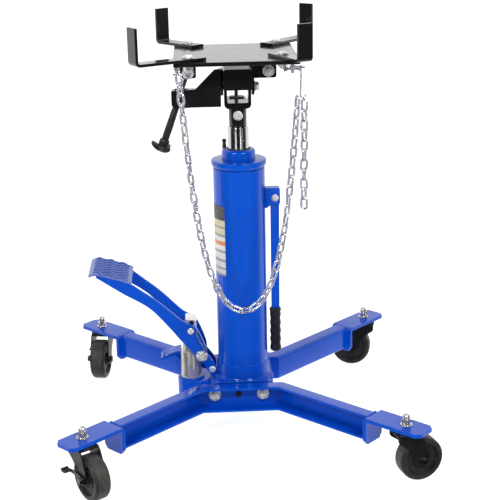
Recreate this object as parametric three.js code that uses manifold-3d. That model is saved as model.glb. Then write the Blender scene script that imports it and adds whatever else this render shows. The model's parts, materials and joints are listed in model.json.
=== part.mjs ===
// Foot-pumped two-stage transmission jack on four casters, at real size in millimetres, +Z up.
// Working frame: the tube axis is x = 0, y = 0 and the floor is z = FLOOR_Z. The finished group is moved
// so that its origin is the bottom centre of the whole object's box.
import * as THREE from 'three';
import Module from 'manifold-3d';
import { mergeVertices } from 'three/addons/utils/BufferGeometryUtils.js';

const wasm = await Module();
wasm.setup();

// ---- driving dimensions -------------------------------------------------------------------
const GAP = 0.3;                 // air left between separate pieces
const PIN_R = 6;                 // hinge pins and bolts
const PIN_HOLE = 6.4;            // the holes they run in
const DEG = Math.PI / 180;

const FLOOR_Z = 8;               // level that the wheels stand on
const BASE_X = -10;              // centre of the caster rectangle, seen from the tube axis
const PLATE_TOP = 127;           // top of the caster plates and channels
const PLATE_T = 8;
const BEND_X = 92.6;             // bends of each channel, either side of BASE_X
const WEB_Y = 66;                // back of each channel's web
const WEB_T = 5;
const FLANGE_W = 30;
const CHANNEL_H = 52;
const ARM_DEG = 43.9;            // how far each base arm splays from the X axis
const ARM_LEN = 326.7;           // bend to kingpin, along the arm
const PIN_OFF = 16;              // kingpin sits this far outside the web's back
const FOLD = 85;                 // kingpin back to the fold of the caster plate
const PLATE_HALF = 28;           // half the width of a caster plate
const PLATE_END = 48;            // kingpin out to the plate's end

const WHEEL_R = 46;
const WHEEL_HALF = 17;
const AXLE_Z = FLOOR_Z + WHEEL_R;
const TRAIL = 29;                // kingpin to axle
const FORK_Y = 19;               // inner face of each fork leg
const LEG_T = 3.5;
const CASTERS = [
  { id: 'fl', sx: -1, sy: -1, turn: -55, brake: true },
  { id: 'fr', sx: 1, sy: -1, turn: 16, brake: false },
  { id: 'rl', sx: -1, sy: 1, turn: -100, brake: true },
  { id: 'rr', sx: 1, sy: 1, turn: 168, brake: false },
];

const BLOCK_TOP = 145;
const TUBE_R = 54;
const TUBE_BORE = 50;
const TUBE_TOP = 591.6;
const CAP_TOP = 602;
const COLLAR_TOP = 624;
const RAM1_R = 22;
const RAM1_BORE = 17;
const RAM1_TOP = 667;
const RAM2_R = 15;
const SLEEVE_R = 18.3;
const SLEEVE_TOP = 709.6;

const PITCH_Z = 752;             // pitch pivot height
const BOX_HALF_X = 29;
const BOX_HALF_Y = 62;
const BOX_TOP = 797;
const ROLL_X = 61;               // roll pivot, right of the tube axis
const ROLL_Z = 792;
const BARREL_X = -99;            // trunnion the roll screw runs through
const SCREW_Y = -45;             // plane the roll screw works in
const SWIVEL_X = -115;
const SWIVEL_Z = 749;
const KNOB_X = -154;
const KNOB_Z = 645;
const PITCH_BARREL = [54, 770];  // y, z of the rear trunnion
const PITCH_SWIVEL = [59, 714];  // y, z of the rear swivel

const SADDLE_X = -4;
const SADDLE_HALF = [123, 128];
const SADDLE_BOTTOM = 814;
const SADDLE_TOP = 822;
const SEAT_RISE = 0.5;           // the middle of the plate stands this much proud of the rest
const SEAT = [-60, 48, -40, 62]; // its x and y limits, clear of the arms' tails
const BAR_T = 6;
const BAR_HALF = 16.5;
const BAR_TAIL = 32;
const UPTURN_TOP = 896;
const ARMS = [
  { id: 'fl', at: [-98, -104], turn: 209, reach: 121 },
  { id: 'rl', at: [-98, 104], turn: 131, reach: 84 },
  { id: 'fr', at: [88, -84], turn: -64, reach: 86 },
  { id: 'rr', at: [86, 104], turn: 50, reach: 118 },
];

const CHAIN_Y = -136;
const CHAIN_X = -1;              // lowest point of the hanging chain
const CHAIN_LOW = 315;
const CHAIN_A = 34;              // catenary constant
const CHAIN_R = 5.5;
const CHAIN_LEFT_TOP = 802;
const CHAIN_RIGHT_TOP = 752;
const TAIL_X = 125;
const TAIL_LOW = 521;

const PIVOT_B = [-89.6, 176];    // pedal pivot, x z
const PIN_A = [-111.6, 235];     // pin that pushes the plunger
const PUMP_X = -113;
const PUMP_Y = 4;

const HANDLE_X = 72;
const HANDLE_PIVOT = [74, 520];
const RELEASE_PIVOT = [-92, 104];

// ---- materials -----------------------------------------------------------------------------
const BLUE = [0x0a4fc4, 0.22, 0.0];
const BLACK = [0x101012, 0.25, 0.1];
const CHROME = [0xc9ccd0, 0.15, 1.0];
const ZINC = [0xb9bdc4, 0.32, 1.0];
const RUBBER = [0x1a1a1b, 0.7, 0.0];
const STEEL = [0x8d9094, 0.4, 1.0];

// ---- helpers -------------------------------------------------------------------------------
function toSolid(geometry) {
  geometry.deleteAttribute('normal');
  geometry.deleteAttribute('uv');
  const merged = mergeVertices(geometry, 1e-4);
  const index = merged.index.array;
  const p = merged.attributes.position.array;
  const faces = [];
  let volume = 0;
  for (let i = 0; i < index.length; i += 3) {
    const [a, b, c] = [index[i], index[i + 1], index[i + 2]];
    if (a === b || b === c || a === c) continue;
    faces.push(a, b, c);
    const A = new THREE.Vector3().fromArray(p, 3 * a);
    const B = new THREE.Vector3().fromArray(p, 3 * b);
    const C = new THREE.Vector3().fromArray(p, 3 * c);
    volume += A.dot(B.cross(C));
  }
  if (volume < 0) faces.reverse();
  const mesh = new wasm.Mesh({
    numProp: 3,
    vertProperties: new Float32Array(p),
    triVerts: new Uint32Array(faces),
  });
  return new wasm.Manifold(mesh);
}

const union = (parts) => parts.reduce((sum, part) => sum.add(part));
const cut = (body, tools) => tools.reduce((left, tool) => left.subtract(tool), body);

function shapeOf(points) {
  return new THREE.Shape(points.map(([u, v]) => new THREE.Vector2(u, v)));
}

function extrude(points, depth) {
  return new THREE.ExtrudeGeometry(shapeOf(points), { depth, bevelEnabled: false, steps: 1 });
}

// plan outline raised from z0 to z1
function prismZ(points, z0, z1) {
  return toSolid(extrude(points, z1 - z0).translate(0, 0, z0));
}

// outline in x, z carried from y0 to y1
function prismY(points, y0, y1) {
  return toSolid(extrude(points, y1 - y0).rotateX(Math.PI / 2).translate(0, y1, 0));
}

// outline in y, z carried from x0 to x1
function prismX(points, x0, x1) {
  const turn = new THREE.Matrix4().makeBasis(
    new THREE.Vector3(0, 1, 0),
    new THREE.Vector3(0, 0, 1),
    new THREE.Vector3(1, 0, 0),
  );
  return toSolid(extrude(points, x1 - x0).applyMatrix4(turn).translate(x0, 0, 0));
}

const rect = (u0, u1, v0, v1) => [[u0, v0], [u1, v0], [u1, v1], [u0, v1]];
const box = (x0, x1, y0, y1, z0, z1) => prismZ(rect(x0, x1, y0, y1), z0, z1);

// lathe profile of [radius, height] turned about the given axis through a point
function lathe(profile, sides = 20, axis = 'z', at = [0, 0, 0]) {
  const points = profile.map(([r, h]) => new THREE.Vector2(r, h));
  const g = new THREE.LatheGeometry(points, sides);
  if (axis === 'z') g.rotateX(Math.PI / 2);
  if (axis === 'x') g.rotateZ(-Math.PI / 2);
  return toSolid(g.translate(...at));
}

const ring = (inner, outer, z0, z1, sides = 20) =>
  lathe([[inner, z0], [outer, z0], [outer, z1], [inner, z1], [inner, z0]], sides);

const drum = (radius, h0, h1, axis, at, sides = 12) =>
  lathe([[0, h0], [radius, h0], [radius, h1], [0, h1]], sides, axis, at);

// pin with a head at each end, lying along an axis
function bolt(radius, head, h0, h1, headT, axis, at, sides = 12) {
  const profile = [[0, h0], [head, h0], [head, h0 + headT], [radius, h0 + headT],
    [radius, h1 - headT], [head, h1 - headT], [head, h1], [0, h1]];
  return lathe(profile, sides, axis, at);
}

// straight rod between two points, with optional profile of [radius, distance]
function turned(from, to, profile, sides = 12) {
  const a = new THREE.Vector3(...from);
  const b = new THREE.Vector3(...to);
  const points = profile.map(([r, h]) => new THREE.Vector2(r, h));
  const g = new THREE.LatheGeometry(points, sides);
  const dir = b.sub(a).normalize();
  g.applyQuaternion(new THREE.Quaternion().setFromUnitVectors(new THREE.Vector3(0, 1, 0), dir));
  return toSolid(g.translate(...from));
}

function tube(points, radius, steps, sides = 10) {
  const path = new THREE.CatmullRomCurve3(points.map((p) => new THREE.Vector3(...p)));
  const circle = [];
  for (let i = 0; i < sides; i += 1) {
    const a = (2 * Math.PI * i) / sides;
    circle.push([radius * Math.cos(a), radius * Math.sin(a)]);
  }
  const g = new THREE.ExtrudeGeometry(shapeOf(circle), { steps, extrudePath: path });
  return toSolid(g);
}

function placed(solid, { mirrorX = false, mirrorY = false, turn = 0, at = [0, 0, 0] }) {
  let out = solid;
  if (mirrorX) out = out.mirror([1, 0, 0]);
  if (mirrorY) out = out.mirror([0, 1, 0]);
  return out.rotate([0, 0, turn]).translate(at);
}

const group = new THREE.Group();
group.name = 'transmission_jack';

function add(name, solid, [color, roughness, metalness]) {
  const mesh = solid.getMesh();
  const geometry = new THREE.BufferGeometry();
  geometry.setAttribute('position', new THREE.BufferAttribute(new Float32Array(mesh.vertProperties), 3));
  geometry.setIndex(new THREE.BufferAttribute(new Uint32Array(mesh.triVerts), 1));
  const flat = geometry.toNonIndexed();
  flat.computeVertexNormals();
  const node = new THREE.Mesh(flat, new THREE.MeshStandardMaterial({ color, roughness, metalness }));
  node.name = name;
  group.add(node);
}

// ---- base frame ------------------------------------------------------------------------------
const armDir = [-Math.cos(ARM_DEG * DEG), -Math.sin(ARM_DEG * DEG)];
const armSide = [-Math.sin(ARM_DEG * DEG), Math.cos(ARM_DEG * DEG)];

// point of the front left arm: along the arm and across it from the bend of the web's back
function armPoint(along, across) {
  return [
    -BEND_X + along * armDir[0] + across * armSide[0],
    -WEB_Y + along * armDir[1] + across * armSide[1],
  ];
}

// kingpin of a caster in the working frame
function kingpin(sx, sy) {
  const [x, y] = armPoint(ARM_LEN, -PIN_OFF);
  return [BASE_X - sx * x, -sy * y];
}

// plan strip of the front channel between two distances from the web's back
function channelStrip(near, far) {
  const end = ARM_LEN - FOLD + 1;
  const mitre = Math.tan((ARM_DEG / 2) * DEG);
  const left = (w) => [armPoint(end, -w), [-BEND_X + w * mitre, -WEB_Y - w]];
  const right = (w) => left(w).map(([x, y]) => [-x, y]).reverse();
  const line = (w) => [...left(w), ...right(w)];
  return [...line(near), ...line(far).reverse()];
}

function casterPlate() {
  const w = PLATE_HALF;
  const clip = 10;
  const top = [[-FOLD, -w], [PLATE_END - clip, -w], [PLATE_END, clip - w], [PLATE_END, w - clip],
    [PLATE_END - clip, w], [-FOLD, w]];
  const legLow = PLATE_TOP - CHANNEL_H - 7;
  const leg = [[-w, 120], [-w, legLow + clip], [8 - w, legLow], [w - 8, legLow], [w, legLow + clip], [w, 120]];
  const horizontal = prismZ(top, PLATE_TOP - PLATE_T, PLATE_TOP);
  const down = prismX(leg, -FOLD, -FOLD + PLATE_T);
  const hole = drum(PIN_HOLE, PLATE_TOP - PLATE_T - 1, PLATE_TOP + 1, 'z', [0, 0, 0]);
  return cut(union([horizontal, down]), [hole]);
}

function frame(sy) {
  const low = PLATE_TOP - CHANNEL_H;
  const parts = [
    prismZ(channelStrip(0, WEB_T), low, PLATE_TOP),
    prismZ(channelStrip(0, FLANGE_W), PLATE_TOP - WEB_T, PLATE_TOP),
    prismZ(channelStrip(0, FLANGE_W), low, low + WEB_T),
  ];
  const [px, py] = armPoint(ARM_LEN, -PIN_OFF);
  const plate = placed(casterPlate(), { turn: 180 + ARM_DEG, at: [px, py, 0] });
  parts.push(plate, plate.mirror([1, 0, 0]));
  return placed(union(parts), { mirrorY: sy > 0, at: [BASE_X, 0, 0] });
}

function pumpBase() {
  const half = WEB_Y - 0.4;
  const plan = [[-64, -half], [54, -half], [62, -half + 10], [62, half - 10], [54, half],
    [-64, half], [-72, half - 10], [-72, -half + 10]];
  const [rx, rz] = RELEASE_PIVOT;
  const parts = [
    prismZ(plan, 76, BLOCK_TOP),
    drum(30, 76, 119, 'z', [PUMP_X, PUMP_Y, 0], 20),
    box(PUMP_X, -60, PUMP_Y - 26, PUMP_Y + 26, 76, 112),
    box(rx - 10, -70, 32, 46.5, rz - 12, rz + 12),
  ];
  return cut(union(parts), [drum(PIN_HOLE, 28, 60, 'y', [rx, 0, rz])]);
}

function pedalBracket() {
  const [bx, bz] = PIVOT_B;
  const link = [[bx - 12, bz - 5], [bx - 6, bz + 11], [bx + 6, bz + 11], [bx + 12, bz],
    [-57, 150], [-57, BLOCK_TOP + GAP], [-80, BLOCK_TOP + GAP], [-81, 153]];
  const foot = box(-71, -60, -20, 28, BLOCK_TOP + GAP, 153);
  const holes = drum(PIN_HOLE, -30, 40, 'y', [bx, 0, bz]);
  return cut(union([prismY(link, -20, -15), prismY(link, 23, 28), foot]), [holes]);
}

add('front_frame', frame(-1), BLUE);
add('rear_frame', frame(1), BLUE);
add('pump_base', pumpBase(), BLUE);
add('pedal_bracket', pedalBracket(), BLUE);

// ---- casters -----------------------------------------------------------------------------------
function fork() {
  const outer = FORK_Y + LEG_T;
  const leg = [[-26, 113], [24, 113], [43, AXLE_Z + 12], [39, AXLE_Z - 8], [TRAIL, AXLE_Z - 13],
    [TRAIL - 10, AXLE_Z - 8], [8, AXLE_Z + 16], [-26, 97]];
  const parts = [
    prismY(leg, -outer, -FORK_Y),
    prismY(leg, FORK_Y, outer),
    box(-26, 26, -outer, outer, 109.5, 113),
    ring(PIN_HOLE, 25, 112, PLATE_TOP - PLATE_T - GAP, 16),
    bolt(PIN_R, 8.5, -30, 30, 3.5, 'y', [TRAIL, 0, AXLE_Z]),
  ];
  return cut(union(parts), [drum(PIN_HOLE, 100, 130, 'z', [0, 0, 0])]);
}

function wheel() {
  const w = WHEEL_HALF;
  const half = [[PIN_HOLE, -w - 1], [13, -w - 1], [13, -9], [33, -9], [36, -w], [42.5, -w], [WHEEL_R, -w + 5]];
  const other = half.map(([r, h]) => [r, -h]).reverse();
  return lathe([...half, ...other, half[0]], 24, 'y', [TRAIL, 0, AXLE_Z]);
}

function kingpinNut() {
  const seat = PLATE_TOP + GAP;
  const profile = [[0, 104], [10, 104], [10, 109], [PIN_R, 109], [PIN_R, seat], [12, seat], [12, seat + 2.7],
    [9.2, seat + 2.7], [9.2, seat + 14], [7.4, seat + 14], [7.4, seat + 19], [4, seat + 23], [0, seat + 24]];
  return lathe(profile, 12);
}

// side lever that hangs on the axle, with a tab bent outwards for the toe
function brakeLever() {
  const near = -FORK_Y - LEG_T - 0.6;
  const z = AXLE_Z;
  const side = [[TRAIL - 9, z - 8], [TRAIL + 9, z - 8], [TRAIL + 9, z + 6], [TRAIL, z + 10], [6, z + 12],
    [-22, z + 8], [-22, z + 3], [4, z + 4]];
  const arm = cut(prismY(side, near - 3, near), [drum(PIN_HOLE, -40, 0, 'y', [TRAIL, 0, z])]);
  const tab = [[-26, z + 9], [-22, z + 3.5], [-9, z + 4.5], [-9, z + 8], [-21, z + 7], [-24, z + 11]];
  return union([arm, prismY(tab, near - 16, near)]);
}

for (const { id, sx, sy, turn, brake } of CASTERS) {
  const [x, y] = kingpin(sx, sy);
  const at = { turn, at: [x, y, 0] };
  add(`caster_fork_${id}`, placed(fork(), at), BLACK);
  add(`caster_wheel_${id}`, placed(wheel(), at), RUBBER);
  add(`kingpin_${id}`, placed(kingpinNut(), at), CHROME);
  if (brake) add(`brake_lever_${id}`, placed(brakeLever(), at), BLACK);
}

// ---- hydraulic column ----------------------------------------------------------------------------
const capProfile = [[35.4, 578], [49.6, 578], [49.6, TUBE_TOP + GAP], [57.5, TUBE_TOP + GAP], [57.5, 600],
  [56, CAP_TOP], [35.4, CAP_TOP], [35.4, 578]];
const collarProfile = [[RAM1_R + 0.4, 560], [35, 560], [35, 621], [32.5, COLLAR_TOP], [RAM1_R + 0.4, COLLAR_TOP],
  [RAM1_R + 0.4, 560]];
const ram1Profile = [[RAM1_BORE, 160], [26, 160], [26, 185], [RAM1_R, 185], [RAM1_R, 665.5], [20.5, RAM1_TOP],
  [RAM2_R + 0.4, RAM1_TOP], [RAM2_R + 0.4, 645], [RAM1_BORE, 645], [RAM1_BORE, 160]];
const ram2Profile = [[0, 165], [16.6, 165], [16.6, 190], [RAM2_R, 190], [RAM2_R, SLEEVE_TOP], [0, SLEEVE_TOP]];
add('reservoir_tube', ring(TUBE_BORE, TUBE_R, BLOCK_TOP + GAP, TUBE_TOP, 32), BLUE);
add('reservoir_cap', lathe(capProfile, 32), BLUE);
add('gland_collar', lathe(collarProfile, 24), BLUE);
add('pressure_cylinder', ring(26.4, 31, BLOCK_TOP + GAP, 559.6), STEEL);
add('outer_ram', lathe(ram1Profile, 24), CHROME);

const postHole = drum(4.4, -30, 0, 'y', [0, 0, 695.5], 12);
add('inner_ram', cut(lathe(ram2Profile, 20), [postHole]), CHROME);
add('post_sleeve', cut(ring(RAM2_R + 0.4, SLEEVE_R, RAM1_TOP + GAP, SLEEVE_TOP), [postHole]), BLACK);
add('post_bolt', lathe([[0, -27], [10.2, -27], [10.2, -20], [4, -20], [4, -2], [0, -2]], 12, 'y',
  [0, 0, 695.5]), CHROME);

// ---- head: yoke, tilt box and the two adjusting screws -----------------------------------------
function yoke() {
  const outline = [[-27.5, 718], [-22, 710], [22, 710], [27.5, 718], [27.5, 764.5], [21.5, 764.5],
    [21.5, 722], [-21.5, 722], [-21.5, 764.5], [-27.5, 764.5]];
  const side = [[-25, 709], [25, 709], [25, 735], [13, 759], [5, 764], [-5, 764], [-13, 759], [-25, 735]];
  const [sy, sz] = PITCH_SWIVEL;
  const lug = [[20, 710], [sy + 6, 704], [sy + 10, sz], [sy + 4, sz + 9], [20, 721]];
  const saddle = prismY(outline, -26, 26).intersect(prismX(side, -40, 40));
  const holes = [
    drum(PIN_HOLE, -40, 40, 'x', [0, 0, PITCH_Z]),
    drum(PIN_HOLE, -40, 40, 'x', [0, sy, sz]),
  ];
  return cut(union([saddle, prismX(lug, -20, -15), prismX(lug, 15, 20)]), holes);
}

function tiltBox() {
  const x = BOX_HALF_X;
  const y = BOX_HALF_Y;
  const wall = [[-y, 755], [-24, 755], [-24, 773], [24, 773], [24, 755], [y, 755], [y, 792], [-y, 792]];
  const cheek = [[-20, 790], [-20, 752], [-12, 736], [12, 736], [20, 752], [20, 790]];
  const ear = [[28, 778], [70, 778], [77, 785], [77, 802], [70, 809], [28, 809]];
  const parts = [
    box(-x, x, -y, y, 791, BOX_TOP),
    box(-x, x, -y, -y + 4, 755, 792),
    prismX(wall, -x, -x + 3.5),
    prismX(wall, x - 3.5, x),
    prismX(cheek, -x - 5.5, -x),
    prismX(cheek, x, x + 5.5),
    prismY(ear, -56, -50),
    prismY(ear, 50, 56),
    box(34, 40, -56, 56, 778, 784),
  ];
  const [by, bz] = PITCH_BARREL;
  const holes = [
    drum(PIN_HOLE, -50, 50, 'x', [0, 0, PITCH_Z]),
    drum(PIN_HOLE, -50, 50, 'x', [0, by, bz]),
    drum(PIN_HOLE, -70, 70, 'y', [ROLL_X, 0, ROLL_Z]),
  ];
  return cut(union(parts), holes);
}

const screwTop = [BARREL_X, SCREW_Y, ROLL_Z];
const screwFoot = [KNOB_X, SCREW_Y, KNOB_Z];

function bracketArm() {
  const inner = -BOX_HALF_X - 5.5 - GAP;
  const plate = [[-134, 728], [-128, 720], [inner, 727], [inner, 798], [-44, 798], [-84, 758], [-134, 757]];
  const parts = [
    prismY(plate, -60, -55),
    box(-134, inner, -60, -30, 752, 757),
    box(-130, inner, -60, -30, 721, 726),
    box(inner - 5, inner, -60, -20, 727, 795),
    prismY(rect(-127, -103, 738, 760), -35, -30),
  ];
  const seatRoom = drum(11, -54.9, -35.1, 'y', [SWIVEL_X, 0, SWIVEL_Z]);
  const clear = turned(screwTop, screwFoot, [[0, 10], [15, 10], [15, 150], [0, 150]]);
  const seat = drum(PIN_HOLE, -70, -20, 'y', [SWIVEL_X, 0, SWIVEL_Z]);
  const keep = prismY(rect(-160, -60, 700, 800), -55, -35.5);
  return cut(union(parts), [seatRoom, clear.intersect(keep), seat]);
}

function barrel(axis, at, half, rod, front = false) {
  const neck = half + 6;
  const profile = [[0, -neck], [PIN_R, -neck], [PIN_R, -half], [10.5, -half], [10.5, half], [PIN_R, half],
    [PIN_R, neck], [0, neck]];
  const headed = [[0, -neck - 6], [12, -neck - 6], [12, -neck - 0.4], [PIN_R, -neck - 0.4], ...profile.slice(2)];
  return cut(lathe(front ? headed : profile, 14, axis, at), [rod]);
}

function alongScrew(top, foot, radius) {
  return turned(top, foot, [[0, -40], [radius, -40], [radius, 120], [0, 120]]);
}

function screw(top, foot, gripFrom) {
  const length = new THREE.Vector3(...foot).distanceTo(new THREE.Vector3(...top));
  const profile = [[0, -11], [4.5, -11], [4.5, gripFrom], [7, gripFrom], [7, length - 6], [0, length - 6]];
  const knob = [[0, -24], [8, -24], [11.5, -20], [11.5, -8], [9, 0], [11.5, 8], [11.5, 20], [8, 24], [0, 24]];
  return union([turned(top, foot, profile, 14), lathe(knob, 14, 'x', foot)]);
}

const rearTop = [0, ...PITCH_BARREL];
const rearDrop = (PITCH_SWIVEL[0] - PITCH_BARREL[0]) / (PITCH_BARREL[1] - PITCH_SWIVEL[1]);
const REAR_KNOB_Z = 622;
const rearFoot = [0, PITCH_BARREL[0] + rearDrop * (PITCH_BARREL[1] - REAR_KNOB_Z), REAR_KNOB_Z];

add('yoke', yoke(), BLACK);
add('pitch_bolt', bolt(PIN_R, 10, -45, 45, 9, 'x', [0, 0, PITCH_Z]), CHROME);
add('tilt_box', tiltBox(), BLACK);
add('bracket_arm', bracketArm(), BLACK);
add('roll_bolt', bolt(PIN_R, 10, -64, 64, 7.5, 'y', [ROLL_X, 0, ROLL_Z]), CHROME);
add('roll_barrel', barrel('y', screwTop, 8.6, alongScrew(screwTop, screwFoot, 6.2), true), CHROME);
add('roll_swivel', barrel('y', [SWIVEL_X, SCREW_Y, SWIVEL_Z], 9.6, alongScrew(screwTop, screwFoot, 4.9)), STEEL);
add('roll_screw', screw(screwTop, screwFoot, 80), RUBBER);
add('pitch_barrel', barrel('x', rearTop, 24.8, alongScrew(rearTop, rearFoot, 6.2)), STEEL);
add('pitch_swivel', barrel('x', [0, ...PITCH_SWIVEL], 14.6, alongScrew(rearTop, rearFoot, 4.9)), STEEL);
add('pitch_screw', screw(rearTop, rearFoot, 80), RUBBER);

// ---- saddle -----------------------------------------------------------------------------------------
function saddlePlate() {
  const [hx, hy] = SADDLE_HALF;
  const plate = box(SADDLE_X - hx, SADDLE_X + hx, -hy, hy, SADDLE_BOTTOM, SADDLE_TOP);
  const studs = ARMS.map(({ at }) => lathe(
    [[0, 806], [9, 806], [9, 815], [PIN_R, 815], [PIN_R, SADDLE_TOP + BAR_T + 2], [0, SADDLE_TOP + BAR_T + 2]],
    12, 'z', [...at, 0]));
  const seat = box(...SEAT, SADDLE_TOP - 1, SADDLE_TOP + SEAT_RISE);
  return union([plate, seat, ...studs]);
}

function saddleEar() {
  const top = SADDLE_BOTTOM - GAP;
  const side = [[-115, 789], [-111, 785], [-87, 785], [-83, 789], [-83, top], [-115, top]];
  const parts = [prismY(side, -60, -54.5), prismY(side, -35.5, -30), box(-115, -111.5, -60, -30, 789, top)];
  return cut(union(parts), [drum(PIN_HOLE, -70, -20, 'y', [BARREL_X, 0, ROLL_Z])]);
}

function saddleLug() {
  const top = SADDLE_BOTTOM - GAP;
  const side = [[48, 788], [54, 781], [68, 781], [74, 788], [74, top], [48, top]];
  const parts = [prismY(side, -49.6, -44), prismY(side, 44, 49.6), box(48, 74, -49.6, 49.6, 807, top)];
  return cut(union(parts), [drum(PIN_HOLE, -70, 70, 'y', [ROLL_X, 0, ROLL_Z])]);
}

function saddleArm(reach) {
  const low = SADDLE_TOP + GAP;
  const bar = box(-BAR_TAIL, reach, -BAR_HALF, BAR_HALF, low, low + BAR_T);
  const upturn = box(reach - BAR_T, reach, -BAR_HALF, BAR_HALF, low, UPTURN_TOP);
  return cut(union([bar, upturn]), [drum(PIN_HOLE, low - 1, low + BAR_T + 1, 'z', [0, 0, 0])]);
}

add('saddle_plate', saddlePlate(), BLACK);
add('saddle_ear', saddleEar(), BLACK);
add('saddle_lug', saddleLug(), BLACK);
for (const { id, at, turn, reach } of ARMS) {
  add(`saddle_arm_${id}`, placed(saddleArm(reach), { turn, at: [...at, 0] }), BLACK);
}

// ---- chain ---------------------------------------------------------------------------------------
// the catenary, in even steps of its length
function chainRoute() {
  const count = 36;
  const lengthTo = (z) => Math.sqrt(((z - CHAIN_LOW) / CHAIN_A + 1) ** 2 - 1);
  const left = -lengthTo(CHAIN_LEFT_TOP);
  const right = lengthTo(CHAIN_RIGHT_TOP);
  const points = [];
  for (let i = 0; i <= count; i += 1) {
    const x = Math.asinh(left + ((right - left) * i) / count);
    points.push([CHAIN_X + CHAIN_A * x, CHAIN_Y, CHAIN_LOW + CHAIN_A * (Math.cosh(x) - 1)]);
  }
  return points;
}

add('chain', tube(chainRoute(), CHAIN_R, 40, 8), ZINC);
add('chain_tail', tube([[TAIL_X, CHAIN_Y, 745], [TAIL_X - 0.5, CHAIN_Y, 640], [TAIL_X - 2, CHAIN_Y, TAIL_LOW]],
  CHAIN_R, 12, 8), ZINC);
const hookPoints = [[119, CHAIN_Y, 806], [118.5, CHAIN_Y, 790], [117.5, CHAIN_Y, 774], [117, CHAIN_Y, 761]];
add('chain_hook', tube(hookPoints, 2.2, 8, 8), ZINC);

// ---- foot pump -----------------------------------------------------------------------------------
const nearPlane = (x) => -41 + ((x + 240) * 14) / 140;
const farPlane = (x) => 53 - ((x + 240) * 18) / 140;

function pedalSide(plane) {
  const outline = [[-299, 365], [-246, 325.5], [-202, 299], [-171, 268], [-132, 214], [-103, 177],
    [-96, 164], [-84, 163], [-76, 172], [-77, 188], [-90, 222], [-98, 240], [-124, 251], [-158, 286], [-191, 316],
    [-236, 349], [-262, 358.5]];
  const x0 = -240;
  const slope = (plane(-100) - plane(x0)) / 140;
  const plate = prismY(outline, -3, 3).transform([
    1, slope, 0, 0,
    0, 1, 0, 0,
    0, 0, 1, 0,
    0, plane(x0) - slope * x0, 0, 1,
  ]);
  const holes = [PIN_A, PIVOT_B].map(([x, z]) => drum(PIN_HOLE, -70, 90, 'y', [x, 0, z]));
  return cut(plate, holes);
}

function pedalPad() {
  const profile = [[-234, 351.6], [-231, 357], [-262, 368], [-301, 379.5], [-313, 379], [-322, 371.5],
    [-318, 368.5], [-311, 373.5], [-302, 374], [-262, 362.5]];
  return prismY(profile, -48, 66);
}

add('pump_cylinder', lathe([[9.4, 119.4], [25, 119.4], [25, 134], [21, 136], [21, 178], [17, 181], [17, 192],
  [9.4, 192], [9.4, 119.4]], 20, 'z', [PUMP_X, PUMP_Y, 0]), CHROME);
add('pump_plunger', lathe([[0, 135], [9, 135], [9, 216], [15, 218], [15, 228.6], [0, 228.6]], 24, 'z',
  [PUMP_X, PUMP_Y, 0]), CHROME);
add('pedal_arm_near', pedalSide(nearPlane), BLUE);
add('pedal_arm_far', pedalSide(farPlane), BLUE);
add('pedal_pad', pedalPad(), BLUE);
add('pedal_pin', bolt(PIN_R, 8, -35.2, 43.8, 3, 'y', [PIN_A[0], 0, PIN_A[1]]), CHROME);
const pivotAt = [PIVOT_B[0], 0, PIVOT_B[1]];
add('pedal_pivot_near', lathe([[0, -36.5], [12, -36.5], [12, -32], [PIN_R, -32], [PIN_R, -14.5], [8, -14.5],
  [8, -11], [0, -11]], 12, 'y', pivotAt), CHROME);
add('pedal_pivot_far', lathe([[0, 19], [8, 19], [8, 22.5], [PIN_R, 22.5], [PIN_R, 39.5], [12, 39.5], [12, 44],
  [0, 44]], 12, 'y', pivotAt), CHROME);

// ---- release pedal --------------------------------------------------------------------------------
function releaseLever() {
  const [x, z] = RELEASE_PIVOT;
  const bar = [[x - 9, z - 7], [x + 7, z - 9], [x + 9, z + 5], [x - 4, z + 10], [-139, 160], [-150, 157], [-150, 150]];
  const pad = [[-180, 148], [-177, 144], [-134, 158], [-134, 163], [-150, 160]];
  return union([prismY(bar, 49, 57), prismY(pad, 36, 74), bolt(PIN_R, 10, 47, 64, 2.5, 'y', [x, 0, z])]);
}

add('release_pedal', releaseLever(), BLUE);

// ---- pull handle -------------------------------------------------------------------------------------
function handleBracket() {
  const cheek = [[54.5, 497], [66, 505], [84, 505], [86, 511], [86, 538], [82, 542], [54.5, 542]];
  const web = box(54.5, 58, -11, 11, 497, 542);
  const top = box(54.5, 82, -11, 11, 539, 542);
  const parts = [prismY(cheek, -11, -7.5), prismY(cheek, 7.5, 11), web, top];
  return cut(union(parts), [drum(PIN_HOLE, -30, 30, 'y', [HANDLE_PIVOT[0], 0, HANDLE_PIVOT[1]])]);
}

function handleBar() {
  const x = HANDLE_X;
  const [px, pz] = HANDLE_PIVOT;
  const outline = [[x - 8.5, 188], [x + 8.5, 188], [px + 9, pz - 10], [px + 9, pz + 4], [px + 4, pz + 9],
    [px - 5, pz + 9], [px - 9.5, pz + 3]];
  return cut(prismY(outline, -4, 4), [drum(PIN_HOLE, -30, 30, 'y', [px, 0, pz])]);
}

function handleGrip() {
  const profile = [[0, 178], [9, 178], [12, 182]];
  for (let i = 0; i < 4; i += 1) {
    const z = 186 + 20 * i;
    profile.push([12.4, z], [11.2, z + 10]);
  }
  profile.push([12.4, 266], [11.4, 271], [0, 271]);
  const body = lathe(profile, 14, 'z', [HANDLE_X, 0, 0]);
  return cut(body, [box(HANDLE_X - 8.5 - GAP, HANDLE_X + 9.6, -4 - GAP, 4 + GAP, 187.5, 280)]);
}

add('handle_bracket', handleBracket(), BLUE);
add('handle_bar', handleBar(), BLUE);
add('handle_grip', handleGrip(), RUBBER);
add('handle_bolt', bolt(PIN_R, 9.5, -18, 18, 6.5, 'y', [HANDLE_PIVOT[0], 0, HANDLE_PIVOT[1]]), CHROME);

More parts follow.
